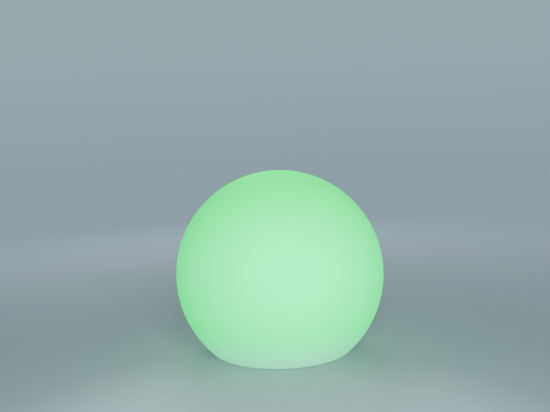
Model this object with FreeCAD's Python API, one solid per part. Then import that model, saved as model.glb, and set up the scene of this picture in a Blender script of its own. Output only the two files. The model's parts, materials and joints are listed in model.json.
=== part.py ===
"""Garden globe light: a moulded milky ball with a twist-lock lamp unit in its flat base.

Millimetres, +Z up. The origin is the centre of the base on the surface that the ball stands on.
"""

import FreeCAD, Part

import math
import os

from FreeCAD import Vector

# ---- driving dimensions ----------------------------------------------------------------------

# globe
globe_radius = 150.0
base_flat_radius = 100.0        # where the ball is cut flat, before its edge is rounded
globe_wall = 3.0
base_edge_radius = 2.0
feet_proud = 1.5                # the flat stands this far above the ground

# foot pads
foot_count = 4
foot_radius = 7.0
foot_seat_depth = 1.0
foot_edge = 0.6                 # bevel round the tread

# pocket in the base and the neck ring that closes it
unit_recess = 2.0               # underside of the lamp unit above the flat of the ball
pocket_draft = 2.0
pocket_clearance = 2.0          # neck ring flange to pocket wall
neck_flange_thickness = 4.0
neck_flange_beyond_screws = 8.0
neck_sleeve_wall = 5.7
neck_sleeve_above_land = 11.7
neck_sleeve_clearance = 1.0     # sleeve to the moulded opening
neck_flange_edge = 0.8          # bevel round its outer rim
gasket_thickness = 1.5
gasket_inner_clearance = 0.5
neck_screw_count = 6
neck_screw_length = 10.0
screw_circle_beyond_opening = 9.0
boss_radius = 7.0
boss_height = 8.0
insert_flats = 6.0
insert_length = 8.0
m4_radius = 2.0
m4_clearance_radius = 2.25
m4_head_radius = 4.0
m4_head_height = 2.2
counterbore_clearance = 0.5

# twist lock
lug_count = 3
lug_reach = 3.7
lug_height = 3.5
lug_angle = 54.0
lug_root = 1.0                  # how far the lugs and the ledges go into the walls that carry them
lead_in_length = 7.0            # slope at the end where a lug comes onto its ledge
lead_in_rise = 1.2
ledge_angle = 60.0
ledge_height = 3.0
ledge_above_spigot = 1.0
stop_angle = 3.5
stop_above_lug = 0.3
twist_play_angle = 0.5
lock_gap = 0.2                  # ledge to lug, along the axis
ledge_clearance = 0.6           # ledge to the cup, across
bore_clearance = 0.3            # spigot to the neck ring's bore
seal_section = 3.0
seal_clearance = 0.15
seal_groove_play = 0.1          # each side of a seal, along its groove
seal_floor_play = 0.05          # under a seal, at the bottom of its groove

# lamp unit housing
housing_wall = 2.5
unit_flange_thickness = 4.0
unit_flange_gap = 0.3           # unit flange to neck ring flange
unit_flange_beyond_spigot = 10.0
unit_flange_edge = 0.8          # bevel round its lower rim
spigot_edge = 0.8               # lead-in at the top of the spigot
spigot_height = 9.0
spigot_groove_height = 4.0      # centre of the seal groove above the unit's flange
grip_bar_width = 24.0
grip_rib_count = 5              # on each side of the bar
grip_rib_pitch = 10.0
grip_rib_width = 1.6
grip_rib_depth = 0.8
finger_pocket_beyond_cup = 0.2
channel_wall = 2.5
bar_floor = 2.5
board_above_bar_floor = 8.0
channel_depth = 12.0
channel_end_space = 1.0
ribbon_gap_side = 2.0           # free width beside the ribbon where it leaves the grip bar
ribbon_gap_wall = 2.3           # ribbon gap to the cup's wall
board_post_radius = 3.0
board_post_edge = 1.3           # post to the rim of the round boards
board_post_to_cradle = 1.5
board_post_thread = 6.0
screw_boss_radius = 3.75
clamp_boss_radius = 4.0
clamp_boss_height = 6.0
clamp_boss_to_cradle = 5.0

# battery pack
cell_diameter = 18.6
cell_length = 65.2
cell_gap = 0.6
cell_end_space = 2.0
cell_cap_radius = 4.5
cell_cap_height = 1.2
cradle_wall = 1.6
cradle_side = 2.1
cradle_floor = 1.5
cradle_clearance = 1.95         # cradle corner to the cup's wall
cradle_wall_above_axis = 2.0
cradle_ear_length = 5.8
cradle_ear_width = 8.0
cradle_ear_edge = 3.0           # screw to the end of the ear
cradle_screw_length = 8.0
saddle_height = 6.5
saddle_width = 4.0
saddle_spacing = 54.6
saddle_clearance = 0.2
link_thickness = 0.3
link_size = 7.0
protection_board_thickness = 1.0
protection_board_gap = 0.2      # board to the cradle's end wall
protection_board_margin = 14.0  # board wider than the two cell axes
protection_board_drop = 7.0
protection_board_rise = 7.2
cell_tab_size = 6.0
clamp_thickness = 1.2
clamp_width = 12.0
clamp_clearance = 0.3
clamp_leg_clearance = 0.5
clamp_screw_beyond = 0.8        # screw end past the bottom of its boss
lead_radius = 0.8
lead_spacing = 4.4

# circuit boards
board_thickness = 1.6
board_to_cup = 6.8
clamp_to_board = 0.4
standoff_height = 14.0
standoff_flats = 5.5
m3_radius = 1.5
m3_head_radius = 2.75
m3_head_height = 1.8
m3_hole_clearance = 0.1
small_screw_radius = 1.2
small_head_radius = 2.6
small_head_height = 1.7
small_hole_clearance = 0.2
tiny_screw_radius = 1.0
tiny_head_radius = 1.9
tiny_head_height = 1.4
tiny_hole_clearance = 0.1
io_screw_length = 6.5
io_screw_hole_depth = 5.5
io_post_radius = 2.4
io_board_to_cradle = 3.7        # shorter than the cradle, at each end
io_board_side_clearance = 1.0
io_screw_from_end = 2.5
io_screw_from_side = 3.0
standoff_stud = 5.0
standoff_hole = 7.0
board_screw_length = 9.0
spreader_thickness = 2.0
rgb_led_count = 12
rgb_led_size = 5.0
rgb_led_height = 1.6
rgb_led_circle = 24.0
white_led_count = 6
white_led_size = 3.2
white_led_height = 0.9
white_led_circle = 12.0
ribbon_width = 7.0
ribbon_thickness = 0.8
ribbon_bend = 2.5
ribbon_to_cup = 4.3
ribbon_above_io_board = 0.9
ribbon_above_control_board = 2.0
ribbon_plug_length = 4.0
ribbon_plug_width = 10.0
ribbon_plug_height = 1.9
ribbon_plug_from_end = 6.0
slot_beside_ribbon = 1.0
slot_width = 3.0

# what stands on the control board and the light board
lead_notch_depth = 6.0
lead_notch_width = 10.0
battery_plug_length = 6.0
battery_plug_width = 9.0
battery_plug_height = 5.0
battery_plug_from_edge = 8.4
lead_above_board = 3.4
cable_plug_length = 11.0
cable_plug_depth = 4.0
cable_plug_height = 3.4
io_plug_from_edge = 8.0
io_plug_depth = 5.0
led_plug_from_edge = 7.0
chip_size = 10.0
chip_height = 1.5
chip_x = -1.0
transistor_size = 6.0
transistor_height = 2.3
transistor_x = 13.0
transistor_pitch = 12.0
transistor_count = 3
capacitor_radius = 4.0
capacitor_height = 11.0
capacitor_x = -10.0
capacitor_y = 14.0
receiver_length = 6.0
receiver_width = 7.0
receiver_height = 4.0
receiver_eye_radius = 2.4
receiver_eye_height = 1.5

# lens over the light board
lens_gasket_thickness = 1.0
lens_flange_thickness = 3.0
lens_wall = 2.0
lens_height = 14.0
lens_crown = 4.0
lens_taper = 0.8                # the drum's wall leans in by this much
lens_gasket_to_board = 1.3
lens_screw_count = 4
lens_screw_length = 11.0
lens_screw_grip = 9.0           # of it in the housing's boss
lens_screw_to_cup = 2.3
lens_screw_head_gap = 0.75      # screw head to the drum
rim_below_board = 0.2

# power button
button_x = 20.0
button_radius = 6.4
button_clearance = 0.2
button_recess = 0.2
button_collar_height = 2.0
button_collar_wall = 2.0
button_flange = 1.6
button_flange_thickness = 1.2
button_lift_gap = 0.1
button_travel = 1.0
button_stem_radius = 2.2
button_stem_height = 0.5
button_seal_section = 1.0
button_seal_above_face = 1.2
button_seal_clearance = 0.1
button_edge = 0.5
switch_size = 6.0
switch_plunger_radius = 1.75
switch_plunger_length = 1.7
switch_plunger_clearance = 0.1

# charging socket and its hinged cover
socket_x = -22.0
socket_width = 8.94
socket_depth = 3.16
socket_shell = 0.3
socket_clearance = 0.3
socket_tongue_recess = 1.6
socket_tongue_thickness = 0.7
socket_tongue_width = 6.7
socket_back = 2.0
socket_mouth_recess = 0.2
port_pad_height = 2.0
port_pad_beyond_cover = 2.0
cover_length = 18.5
cover_width = 12.0
cover_thickness = 1.7
cover_recess = 2.0
cover_gap = 0.3
cover_underside_recess = 0.1
cover_knuckle_radius = 1.3
cover_knuckle_space = 1.0
cover_pin_from_socket = 9.6
cover_pin_radius = 0.75
cover_pin_clearance = 0.1
cover_pin_grip = 1.0
cover_plug_height = 1.0
cover_plug_clearance = 0.38
nail_notch_radius = 5.0
nail_notch_depth = 1.2

# status light
window_radius = 2.5
window_clearance = 0.1
window_recess = 0.1
window_flange = 1.0
window_flange_thickness = 1.0
window_to_led = 0.4
status_led_length = 3.5
status_led_width = 2.8
status_led_height = 1.9

# ---- places that follow from them ------------------------------------------------------------

base_z = feet_proud
globe_centre_z = base_z + math.sqrt(globe_radius ** 2 - base_flat_radius ** 2)

cell_y = (cell_diameter + cell_gap) / 2
cradle_half_length = cell_length / 2 + cell_end_space + cradle_wall
cradle_half_width = cell_diameter + cell_gap / 2 + cradle_side
cup_inner_radius = math.hypot(cradle_half_length, cradle_half_width) + cradle_clearance
cup_radius = cup_inner_radius + housing_wall
spigot_radius = cup_radius + lug_reach
neck_bore_radius = spigot_radius + bore_clearance
neck_sleeve_radius = neck_bore_radius + neck_sleeve_wall
opening_radius = neck_sleeve_radius + neck_sleeve_clearance
neck_screw_circle = opening_radius + screw_circle_beyond_opening
neck_flange_radius = neck_screw_circle + neck_flange_beyond_screws
pocket_land_radius = neck_flange_radius + pocket_clearance
pocket_mouth_radius = pocket_land_radius + pocket_draft
foot_circle = (pocket_mouth_radius + base_flat_radius) / 2
unit_flange_radius = spigot_radius + unit_flange_beyond_spigot

unit_z = base_z + unit_recess
unit_flange_top_z = unit_z + unit_flange_thickness
neck_z = unit_flange_top_z + unit_flange_gap
gasket_z = neck_z + neck_flange_thickness
land_z = gasket_z + gasket_thickness
land_top_z = land_z + globe_wall
sleeve_top_z = land_top_z + neck_sleeve_above_land
spigot_top_z = unit_flange_top_z + spigot_height
groove_z = unit_flange_top_z + spigot_groove_height
ledge_z = spigot_top_z + ledge_above_spigot
ledge_top_z = ledge_z + ledge_height
lug_z = ledge_top_z + lock_gap
lug_top_z = lug_z + lug_height
stop_top_z = lug_top_z + stop_above_lug

# A lug rests against the stop at the locked end of its ledge, and turns back to the next stop.
lug_start_angle = ledge_angle - stop_angle - twist_play_angle - lug_angle
lug_pitch = 360.0 / lug_count
unlock_angle = lug_start_angle + (lug_pitch - ledge_angle) - twist_play_angle

bar_floor_z = unit_z + bar_floor
floor_z = bar_floor_z + channel_depth
pocket_ceiling_z = floor_z - housing_wall
finger_pocket_radius = cup_inner_radius + finger_pocket_beyond_cup
channel_half_width = grip_bar_width / 2 - channel_wall
io_board_z = bar_floor_z + board_above_bar_floor
io_board_top_z = io_board_z + board_thickness
io_board_half_length = cradle_half_length - io_board_to_cradle
io_board_half_width = channel_half_width - io_board_side_clearance
channel_half_length = io_board_half_length + channel_end_space
io_screw_x = io_board_half_length - io_screw_from_end
io_screw_y = io_board_half_width - io_screw_from_side

cell_z = floor_z + cradle_floor + cell_diameter / 2
cell_top_z = cell_z + cell_diameter / 2
clamp_z = cell_top_z + clamp_clearance
control_board_z = clamp_z + clamp_thickness + clamp_to_board
control_board_top_z = control_board_z + board_thickness
board_radius = cup_inner_radius - board_to_cup
post_circle = board_radius - board_post_radius - board_post_edge
post_y = cradle_half_width + board_post_radius + board_post_to_cradle
post_x = math.sqrt(post_circle ** 2 - post_y ** 2)
clamp_screw_y = cradle_half_width + clamp_boss_to_cradle
cradle_screw_x = -(cradle_half_length + cradle_ear_length - cradle_ear_edge)
spreader_z = control_board_top_z + standoff_height
led_board_z = spreader_z + spreader_thickness
led_board_top_z = led_board_z + board_thickness
rim_z = led_board_top_z - rim_below_board
lens_z = rim_z + lens_gasket_thickness
lens_flange_top_z = lens_z + lens_flange_thickness
lens_screw_circle = cup_inner_radius - lens_screw_to_cup
lens_radius = lens_screw_circle - m3_head_radius - lens_screw_head_gap

button_z = unit_z + button_recess
collar_top_z = bar_floor_z + button_collar_height
button_flange_z = collar_top_z + button_lift_gap
button_flange_top_z = button_flange_z + button_flange_thickness
plunger_z = button_flange_top_z + button_stem_height
switch_z = plunger_z + button_travel
button_bore_radius = button_radius + button_clearance

cover_z = unit_z + cover_underside_recess
cover_top_z = cover_z + cover_thickness
cover_ceiling_z = unit_z + cover_recess
cover_pin_x = socket_x - cover_pin_from_socket
cover_pin_z = cover_z + cover_knuckle_radius
port_pad_top_z = bar_floor_z + port_pad_height
socket_mouth_z = cover_ceiling_z + socket_mouth_recess

X_AXIS = Vector(1, 0, 0)
Y_AXIS = Vector(0, 1, 0)
Z_AXIS = Vector(0, 0, 1)
ORIGIN = Vector(0, 0, 0)


# ---- small helpers ---------------------------------------------------------------------------

def disc(radius, low, high, x=0.0, y=0.0):
    return Part.makeCylinder(radius, high - low, Vector(x, y, low))


def ring(outer, inner, low, high, x=0.0, y=0.0):
    return disc(outer, low, high, x, y).cut(disc(inner, low, high, x, y))


def pad(radius, edge, low, high, x, y):
    """A round pad with a bevel round its lower edge."""
    return turned((0, low), (radius - edge, low), (radius, low + edge), (radius, high), (0, high)).translated(
        Vector(x, y, 0)
    )


def hexagon(flats, low, high, x=0.0, y=0.0):
    """A six-sided bar, as wide across its flats as given."""
    corners = [Vector(x + px, y + py, low) for px, py in around(6, flats / math.sqrt(3))]
    return Part.Face(Part.makePolygon(corners + corners[:1])).extrude(Vector(0, 0, high - low))


def block(x0, x1, y0, y1, low, high):
    return Part.makeBox(x1 - x0, y1 - y0, high - low, Vector(x0, y0, low))


def sector(outer, inner, low, high, start, angle):
    """A piece of a ring that runs from the start angle on, counter-clockwise from above."""
    piece = Part.makeCylinder(outer, high - low, Vector(0, 0, low), Z_AXIS, angle)
    piece = piece.cut(disc(inner, low, high))
    piece.rotate(ORIGIN, Z_AXIS, start)
    return piece


def slot(x_size, y_size, low, high, x):
    """An upright bar with half-round ends, long along Y."""
    radius = x_size / 2
    reach = (y_size - x_size) / 2
    middle = block(x - radius, x + radius, -reach, reach, low, high)
    ends = [disc(radius, low, high, x, y) for y in (reach, -reach)]
    return middle.fuse(ends).removeSplitter()


def turned(*outline):
    """A solid turned about Z from (radius, height) corners."""
    points = [Vector(radius, 0, height) for radius, height in outline]
    face = Part.Face(Part.makePolygon(points + points[:1]))
    return face.revolve(ORIGIN, Z_AXIS, 360)


def slope(inner, outer, edge_z, run, rise):
    """A wedge that cuts a lead-in: deepest on the X axis, and gone at the end of its run along Y."""
    points = [Vector(inner, 0, edge_z), Vector(inner, run, edge_z), Vector(inner, 0, edge_z + rise)]
    return Part.Face(Part.makePolygon(points + points[:1])).extrude(Vector(outer - inner, 0, 0))


def rounded_path(corners, bend):
    """Edges along straight runs joined by tangent arcs of one radius."""
    edges = []
    start = corners[0]
    for before, corner, after in zip(corners, corners[1:], corners[2:]):
        inward = (before - corner).normalize()
        outward = (after - corner).normalize()
        half_turn = (math.pi - inward.getAngle(outward)) / 2
        setback = bend * math.tan(half_turn)
        first = corner + inward * setback
        last = corner + outward * setback
        middle_way = (inward + outward).normalize()
        middle = corner + middle_way * (bend / math.cos(half_turn) - bend)
        edges.append(Part.LineSegment(start, first).toShape())
        edges.append(Part.Arc(first, middle, last).toShape())
        start = last
    edges.append(Part.LineSegment(start, corners[-1]).toShape())
    return edges


def swept(corners, bend, profile):
    """A closed profile at the first corner, carried along the rounded path."""
    path = Part.Wire(rounded_path(corners, bend))
    return path.makePipeShell([profile], True, False)


def thin_wire(corners, bend, radius):
    """A lead that sets out along Z, as six flats inside its real diameter."""
    outline = [corners[0] + Vector(px, py, 0) for px, py in around(6, radius)]
    return swept(corners, bend, Part.makePolygon(outline + outline[:1]))


def flat_cable(corners, bend, thickness, width):
    """A flat cable whose path lies in the XZ plane and sets out along X."""
    start = corners[0]
    outline = [
        start + Vector(0, y, z)
        for y, z in corners_of(width / 2, thickness / 2)
    ]
    return swept(corners, bend, Part.makePolygon(outline + outline[:1]))


def around(count, circle, start=0.0):
    """Centres of a bolt circle, as (x, y)."""
    step = 2 * math.pi / count
    first = math.radians(start)
    return [(circle * math.cos(first + i * step), circle * math.sin(first + i * step)) for i in range(count)]


def repeated(pieces, count):
    """Copies of the pieces, evenly spaced about Z."""
    return [piece.rotated(ORIGIN, Z_AXIS, i * 360 / count) for i in range(count) for piece in pieces]


def corners_of(x, y):
    return [(x, y), (-x, y), (-x, -y), (x, -y)]


def screw(x, y, seat_z, head_radius, head_height, radius, length, up=1):
    """A pan-head screw whose head sits on seat_z; up is 1 if the head points up, -1 if down."""
    head = Part.makeCylinder(head_radius, head_height, Vector(x, y, seat_z), Z_AXIS * up)
    shank = Part.makeCylinder(radius, length, Vector(x, y, seat_z), Z_AXIS * -up)
    return head.fuse(shank)


def together(solids):
    return Part.Compound(solids)


# ---- globe and what stays on it --------------------------------------------------------------

foot_places = around(foot_count, foot_circle, 45.0)
neck_screw_places = around(neck_screw_count, neck_screw_circle, 30.0)


def cut_ball(radius, flat_z):
    """A ball about the globe's centre, cut flat below flat_z."""
    latitude = math.degrees(math.asin((flat_z - globe_centre_z) / radius))
    return Part.makeSphere(radius, Vector(0, 0, globe_centre_z), Z_AXIS, latitude, 90, 360)


def globe_shell():
    outside = cut_ball(globe_radius, base_z)
    rim = [edge for edge in outside.Edges if abs(edge.BoundBox.ZMax - base_z) < 0.01 and edge.Length > 1]
    outside = outside.makeFillet(base_edge_radius, rim)
    inside = cut_ball(globe_radius - globe_wall, base_z + globe_wall)
    plateau = turned(
        (0, base_z),
        (pocket_mouth_radius + globe_wall, base_z),
        (pocket_land_radius + globe_wall, land_top_z),
        (0, land_top_z),
    )
    bosses = [disc(boss_radius, land_z, land_top_z + boss_height, x, y) for x, y in neck_screw_places]
    inside = inside.cut([plateau] + bosses)
    pocket = turned((0, base_z), (pocket_mouth_radius, base_z), (pocket_land_radius, land_z), (0, land_z))
    opening = disc(opening_radius, land_z, land_top_z)
    insert_holes = [hexagon(insert_flats, land_z, land_z + insert_length, x, y) for x, y in neck_screw_places]
    foot_seats = [disc(foot_radius, base_z, base_z + foot_seat_depth, x, y) for x, y in foot_places]
    return outside.cut([inside, pocket, opening] + insert_holes + foot_seats)


def foot_pad(x, y):
    return pad(foot_radius, foot_edge, 0, base_z + foot_seat_depth, x, y)


def neck_insert(x, y):
    body = hexagon(insert_flats, land_z, land_z + insert_length, x, y)
    return body.cut(disc(m4_radius, land_z, land_z + insert_length, x, y))


def neck_gasket():
    gasket = ring(neck_flange_radius, opening_radius + gasket_inner_clearance, gasket_z, land_z)
    return gasket.cut([disc(m4_clearance_radius, gasket_z, land_z, x, y) for x, y in neck_screw_places])


def neck_ring():
    """The fixed half of the twist lock: a flange, a sleeve, three ledges and their stops."""
    body = turned(
        (neck_bore_radius, neck_z),
        (neck_flange_radius - neck_flange_edge, neck_z),
        (neck_flange_radius, neck_z + neck_flange_edge),
        (neck_flange_radius, gasket_z),
        (neck_sleeve_radius, gasket_z),
        (neck_sleeve_radius, sleeve_top_z),
        (neck_bore_radius, sleeve_top_z),
    )
    ledge_radius = cup_radius + ledge_clearance
    rooted = neck_bore_radius + lug_root
    ledge = sector(rooted, ledge_radius, ledge_z, ledge_top_z, 0, ledge_angle)
    ledge = ledge.cut(slope(ledge_radius - 1, rooted + 1, ledge_top_z, lead_in_length, -lead_in_rise))
    stop = sector(rooted, ledge_radius, ledge_z, stop_top_z, ledge_angle - stop_angle, stop_angle)
    body = body.fuse(repeated([ledge, stop], lug_count)).removeSplitter()
    head_seat_z = neck_z + m4_head_height
    for x, y in neck_screw_places:
        body = body.cut([
            disc(m4_clearance_radius, neck_z, gasket_z, x, y),
            disc(m4_head_radius + counterbore_clearance, neck_z, head_seat_z, x, y),
        ])
    return body


def neck_ring_screw(x, y):
    seat = neck_z + m4_head_height
    return screw(x, y, seat, m4_head_radius, m4_head_height, m4_radius, neck_screw_length, -1)


# ---- lamp unit: housing, seal and twist lugs -------------------------------------------------

post_places = corners_of(post_x, post_y)
lens_screw_places = around(lens_screw_count, lens_screw_circle, 45.0)
io_screw_places = corners_of(io_screw_x, io_screw_y)
clamp_screw_places = [(0.0, clamp_screw_y), (0.0, -clamp_screw_y)]
seal_inner_radius = neck_bore_radius - seal_clearance - seal_section


def base_housing():
    """The cup, its spigot and flange, the twist lugs, and the grip bar between two finger pockets."""
    groove_radius = seal_inner_radius - seal_floor_play
    half_groove = seal_section / 2 + seal_groove_play
    body = turned(
        (0, unit_z),
        (unit_flange_radius - unit_flange_edge, unit_z),
        (unit_flange_radius, unit_z + unit_flange_edge),
        (unit_flange_radius, unit_flange_top_z),
        (spigot_radius, unit_flange_top_z),
        (spigot_radius, groove_z - half_groove),
        (groove_radius, groove_z - half_groove),
        (groove_radius, groove_z + half_groove),
        (spigot_radius, groove_z + half_groove),
        (spigot_radius, spigot_top_z - spigot_edge),
        (spigot_radius - spigot_edge, spigot_top_z),
        (cup_radius, spigot_top_z),
        (cup_radius, rim_z),
        (cup_inner_radius, rim_z),
        (cup_inner_radius, floor_z),
        (0, floor_z),
    )
    body = body.fuse(repeated([twist_lug()], lug_count) + housing_bosses())
    half_bar = grip_bar_width / 2
    finger_pocket = disc(finger_pocket_radius, unit_z, pocket_ceiling_z)
    bar = block(-cup_radius, cup_radius, -half_bar, half_bar, unit_z, pocket_ceiling_z)
    body = body.cut([finger_pocket.cut([bar] + grip_ribs())])
    body = body.cut(channel_spaces())
    body = body.fuse(channel_posts()).cut(bar_openings())
    holes = [disc(small_screw_radius, rim_z - lens_screw_grip, rim_z, x, y) for x, y in lens_screw_places]
    thread_z = control_board_z - board_post_thread
    holes += [disc(m3_radius, thread_z, control_board_z, x, y) for x, y in post_places]
    clamp_hole_z = floor_z - clamp_screw_beyond
    clamp_boss_z = floor_z + clamp_boss_height
    holes += [disc(small_screw_radius, clamp_hole_z, clamp_boss_z, x, y) for x, y in clamp_screw_places]
    holes.append(disc(small_screw_radius, floor_z - cradle_screw_length, floor_z, cradle_screw_x, 0))
    return body.cut(holes)


def twist_lug():
    """The first lug, at its locked place; its leading end slopes so that it climbs its ledge."""
    lug = sector(spigot_radius, cup_radius - lug_root, lug_z, lug_top_z, 0, lug_angle)
    wedge = slope(cup_radius, spigot_radius + 1, lug_z, -lead_in_length, lead_in_rise)
    lug = lug.cut(wedge.rotated(ORIGIN, Z_AXIS, lug_angle))
    return lug.rotated(ORIGIN, Z_AXIS, lug_start_angle)


def grip_ribs():
    """Upright ribs on both sides of the grip bar, for the fingertips."""
    reach = grip_bar_width / 2 + grip_rib_depth
    first = -grip_rib_pitch * (grip_rib_count - 1) / 2
    half = grip_rib_width / 2
    places = [first + i * grip_rib_pitch for i in range(grip_rib_count)]
    return [block(x - half, x + half, -reach, reach, unit_z, pocket_ceiling_z) for x in places]


def housing_bosses():
    bosses = [disc(board_post_radius, floor_z, control_board_z, x, y) for x, y in post_places]
    clamp_boss_z = floor_z + clamp_boss_height
    bosses += [disc(clamp_boss_radius, floor_z, clamp_boss_z, x, y) for x, y in clamp_screw_places]
    outside = disc(cup_radius, floor_z, rim_z)
    bosses += [disc(screw_boss_radius, floor_z, rim_z, x, y).common(outside) for x, y in lens_screw_places]
    return bosses


def channel_spaces():
    """The hollow of the grip bar, and its narrower end where the ribbon comes up."""
    end = channel_half_length
    side = channel_half_width
    wide = block(-end, end, -side, side, bar_floor_z, floor_z)
    half_gap = ribbon_width / 2 + ribbon_gap_side
    narrow_z = io_board_z - ribbon_gap_side
    narrow = block(0, cup_inner_radius - ribbon_gap_wall, -half_gap, half_gap, narrow_z, floor_z)
    return [wide, narrow]


def channel_posts():
    """What stands on the floor of the grip bar: board posts, the button's collar and the socket's pad."""
    posts = [disc(io_post_radius, bar_floor_z, io_board_z, x, y) for x, y in io_screw_places]
    collar = disc(button_bore_radius + button_collar_wall, bar_floor_z, collar_top_z, button_x)
    pad_start = -channel_half_length
    pad_end = cover_pin_x + cover_length + port_pad_beyond_cover
    side = channel_half_width
    socket_pad = block(pad_start, pad_end, -side, side, bar_floor_z, port_pad_top_z)
    return posts + [collar, socket_pad]


def bar_openings():
    """Holes through the floor of the grip bar, and the seat of the socket's cover under it."""
    half_cover = cover_width / 2 + cover_gap
    seat_start = cover_pin_x - cover_knuckle_radius - cover_knuckle_space
    seat_end = cover_pin_x + cover_length + cover_gap
    pin_reach = half_cover + cover_pin_grip
    knuckle_room = cover_knuckle_radius + cover_gap
    knuckle_end = cover_pin_x + knuckle_room
    io_hole_z = io_board_z - io_screw_hole_depth
    return [
        disc(button_bore_radius, unit_z, collar_top_z, button_x),
        disc(window_radius + window_clearance, unit_z, bar_floor_z, 0),
        block(seat_start, seat_end, -half_cover, half_cover, unit_z, cover_ceiling_z),
        block(seat_start, knuckle_end, -half_cover, half_cover, unit_z, cover_pin_z + knuckle_room),
        slot(
            socket_depth + 2 * socket_clearance, socket_width + 2 * socket_clearance,
            cover_ceiling_z, port_pad_top_z, socket_x,
        ),
        disc(nail_notch_radius, unit_z, unit_z + nail_notch_depth, seat_end),
        cover_axis_bar(cover_pin_radius, pin_reach),
    ] + [disc(tiny_screw_radius, io_hole_z, io_board_z, x, y) for x, y in io_screw_places]


def cover_axis_bar(radius, reach):
    """A round bar along the cover's hinge axis, to both sides of the middle."""
    return Part.makeCylinder(radius, 2 * reach, Vector(cover_pin_x, -reach, cover_pin_z), Y_AXIS)


def seal_ring():
    outer = seal_inner_radius + seal_section
    return ring(outer, seal_inner_radius, groove_z - seal_section / 2, groove_z + seal_section / 2)


# ---- power button ----------------------------------------------------------------------------

button_groove_radius = button_bore_radius - button_seal_clearance - button_seal_section
button_seal_z = button_z + button_seal_above_face


def power_button():
    cap = pad(button_radius, button_edge, button_z, button_flange_z, button_x, 0)
    flange = disc(button_radius + button_flange, button_flange_z, button_flange_top_z, button_x)
    stem = disc(button_stem_radius, button_flange_top_z, plunger_z, button_x)
    groove = ring(
        button_radius, button_groove_radius, button_seal_z - seal_floor_play,
        button_seal_z + button_seal_section + seal_floor_play, button_x,
    )
    return cap.fuse([flange, stem]).removeSplitter().cut(groove)


def button_seal():
    outer = button_groove_radius + button_seal_section
    return ring(outer, button_groove_radius, button_seal_z, button_seal_z + button_seal_section, button_x)


def switch_plunger():
    return disc(switch_plunger_radius, plunger_z, plunger_z + switch_plunger_length, button_x)


def power_switch():
    half = switch_size / 2
    body = block(button_x - half, button_x + half, -half, half, switch_z, io_board_z)
    well_top = plunger_z + switch_plunger_length + button_travel + switch_plunger_clearance
    return body.cut(disc(switch_plunger_radius + switch_plunger_clearance, switch_z, well_top, button_x))


# ---- charging socket, its cover and the status light -----------------------------------------

def charge_socket():
    shell = slot(socket_depth, socket_width, socket_mouth_z, io_board_z, socket_x)
    back_z = io_board_z - socket_back
    room = slot(
        socket_depth - 2 * socket_shell, socket_width - 2 * socket_shell, socket_mouth_z, back_z, socket_x
    )
    half_width = socket_tongue_width / 2
    half = socket_tongue_thickness / 2
    tongue_z = socket_mouth_z + socket_tongue_recess
    tongue = block(socket_x - half, socket_x + half, -half_width, half_width, tongue_z, back_z)
    return shell.cut(room).fuse(tongue)


def port_cover():
    """A door that turns about its knuckle, with a shallow plug that fills the socket's mouth."""
    half = cover_width / 2
    plate = block(cover_pin_x, cover_pin_x + cover_length, -half, half, cover_z, cover_top_z)
    knuckle = cover_axis_bar(cover_knuckle_radius, half)
    mouth = socket_depth - 2 * socket_shell
    plug = slot(
        mouth - 2 * cover_plug_clearance,
        socket_width - 2 * socket_shell - 2 * cover_plug_clearance,
        cover_top_z, cover_top_z + cover_plug_height, socket_x,
    )
    bore = cover_axis_bar(cover_pin_radius + cover_pin_clearance, half)
    return plate.fuse([knuckle, plug]).removeSplitter().cut(bore)


def port_cover_pin():
    return cover_axis_bar(cover_pin_radius, cover_width / 2 + cover_gap + cover_pin_grip)


def status_window():
    pipe = disc(window_radius, unit_z + window_recess, io_board_z - status_led_height - window_to_led)
    flange = disc(window_radius + window_flange, bar_floor_z, bar_floor_z + window_flange_thickness)
    return pipe.fuse(flange).removeSplitter()


def status_led():
    half_length = status_led_length / 2
    half_width = status_led_width / 2
    low = io_board_z - status_led_height
    return block(-half_length, half_length, -half_width, half_width, low, io_board_z)


def io_board():
    board = block(
        -io_board_half_length, io_board_half_length, -io_board_half_width, io_board_half_width,
        io_board_z, io_board_top_z,
    )
    hole_radius = tiny_screw_radius + tiny_hole_clearance
    return board.cut([disc(hole_radius, io_board_z, io_board_top_z, x, y) for x, y in io_screw_places])


def io_board_screw(x, y):
    return screw(x, y, io_board_top_z, tiny_head_radius, tiny_head_height, tiny_screw_radius, io_screw_length)


# ---- battery pack ----------------------------------------------------------------------------

protection_board_x = -(cradle_half_length - cradle_wall) + protection_board_gap
protection_board_top_z = cell_z + protection_board_rise


def battery_cell(y):
    """A round cell with a raised positive button at one end."""
    half = cell_length / 2
    cap_x = half - cell_cap_height
    radius = cell_diameter / 2
    body = Part.makeCylinder(radius, cell_length - cell_cap_height, Vector(-half, y, cell_z), X_AXIS)
    button = Part.makeCylinder(cell_cap_radius, cell_cap_height, Vector(cap_x, y, cell_z), X_AXIS)
    if y > 0:
        body.rotate(Vector(0, y, cell_z), Z_AXIS, 180)
        button.rotate(Vector(0, y, cell_z), Z_AXIS, 180)
    return body.fuse(button)


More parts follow.
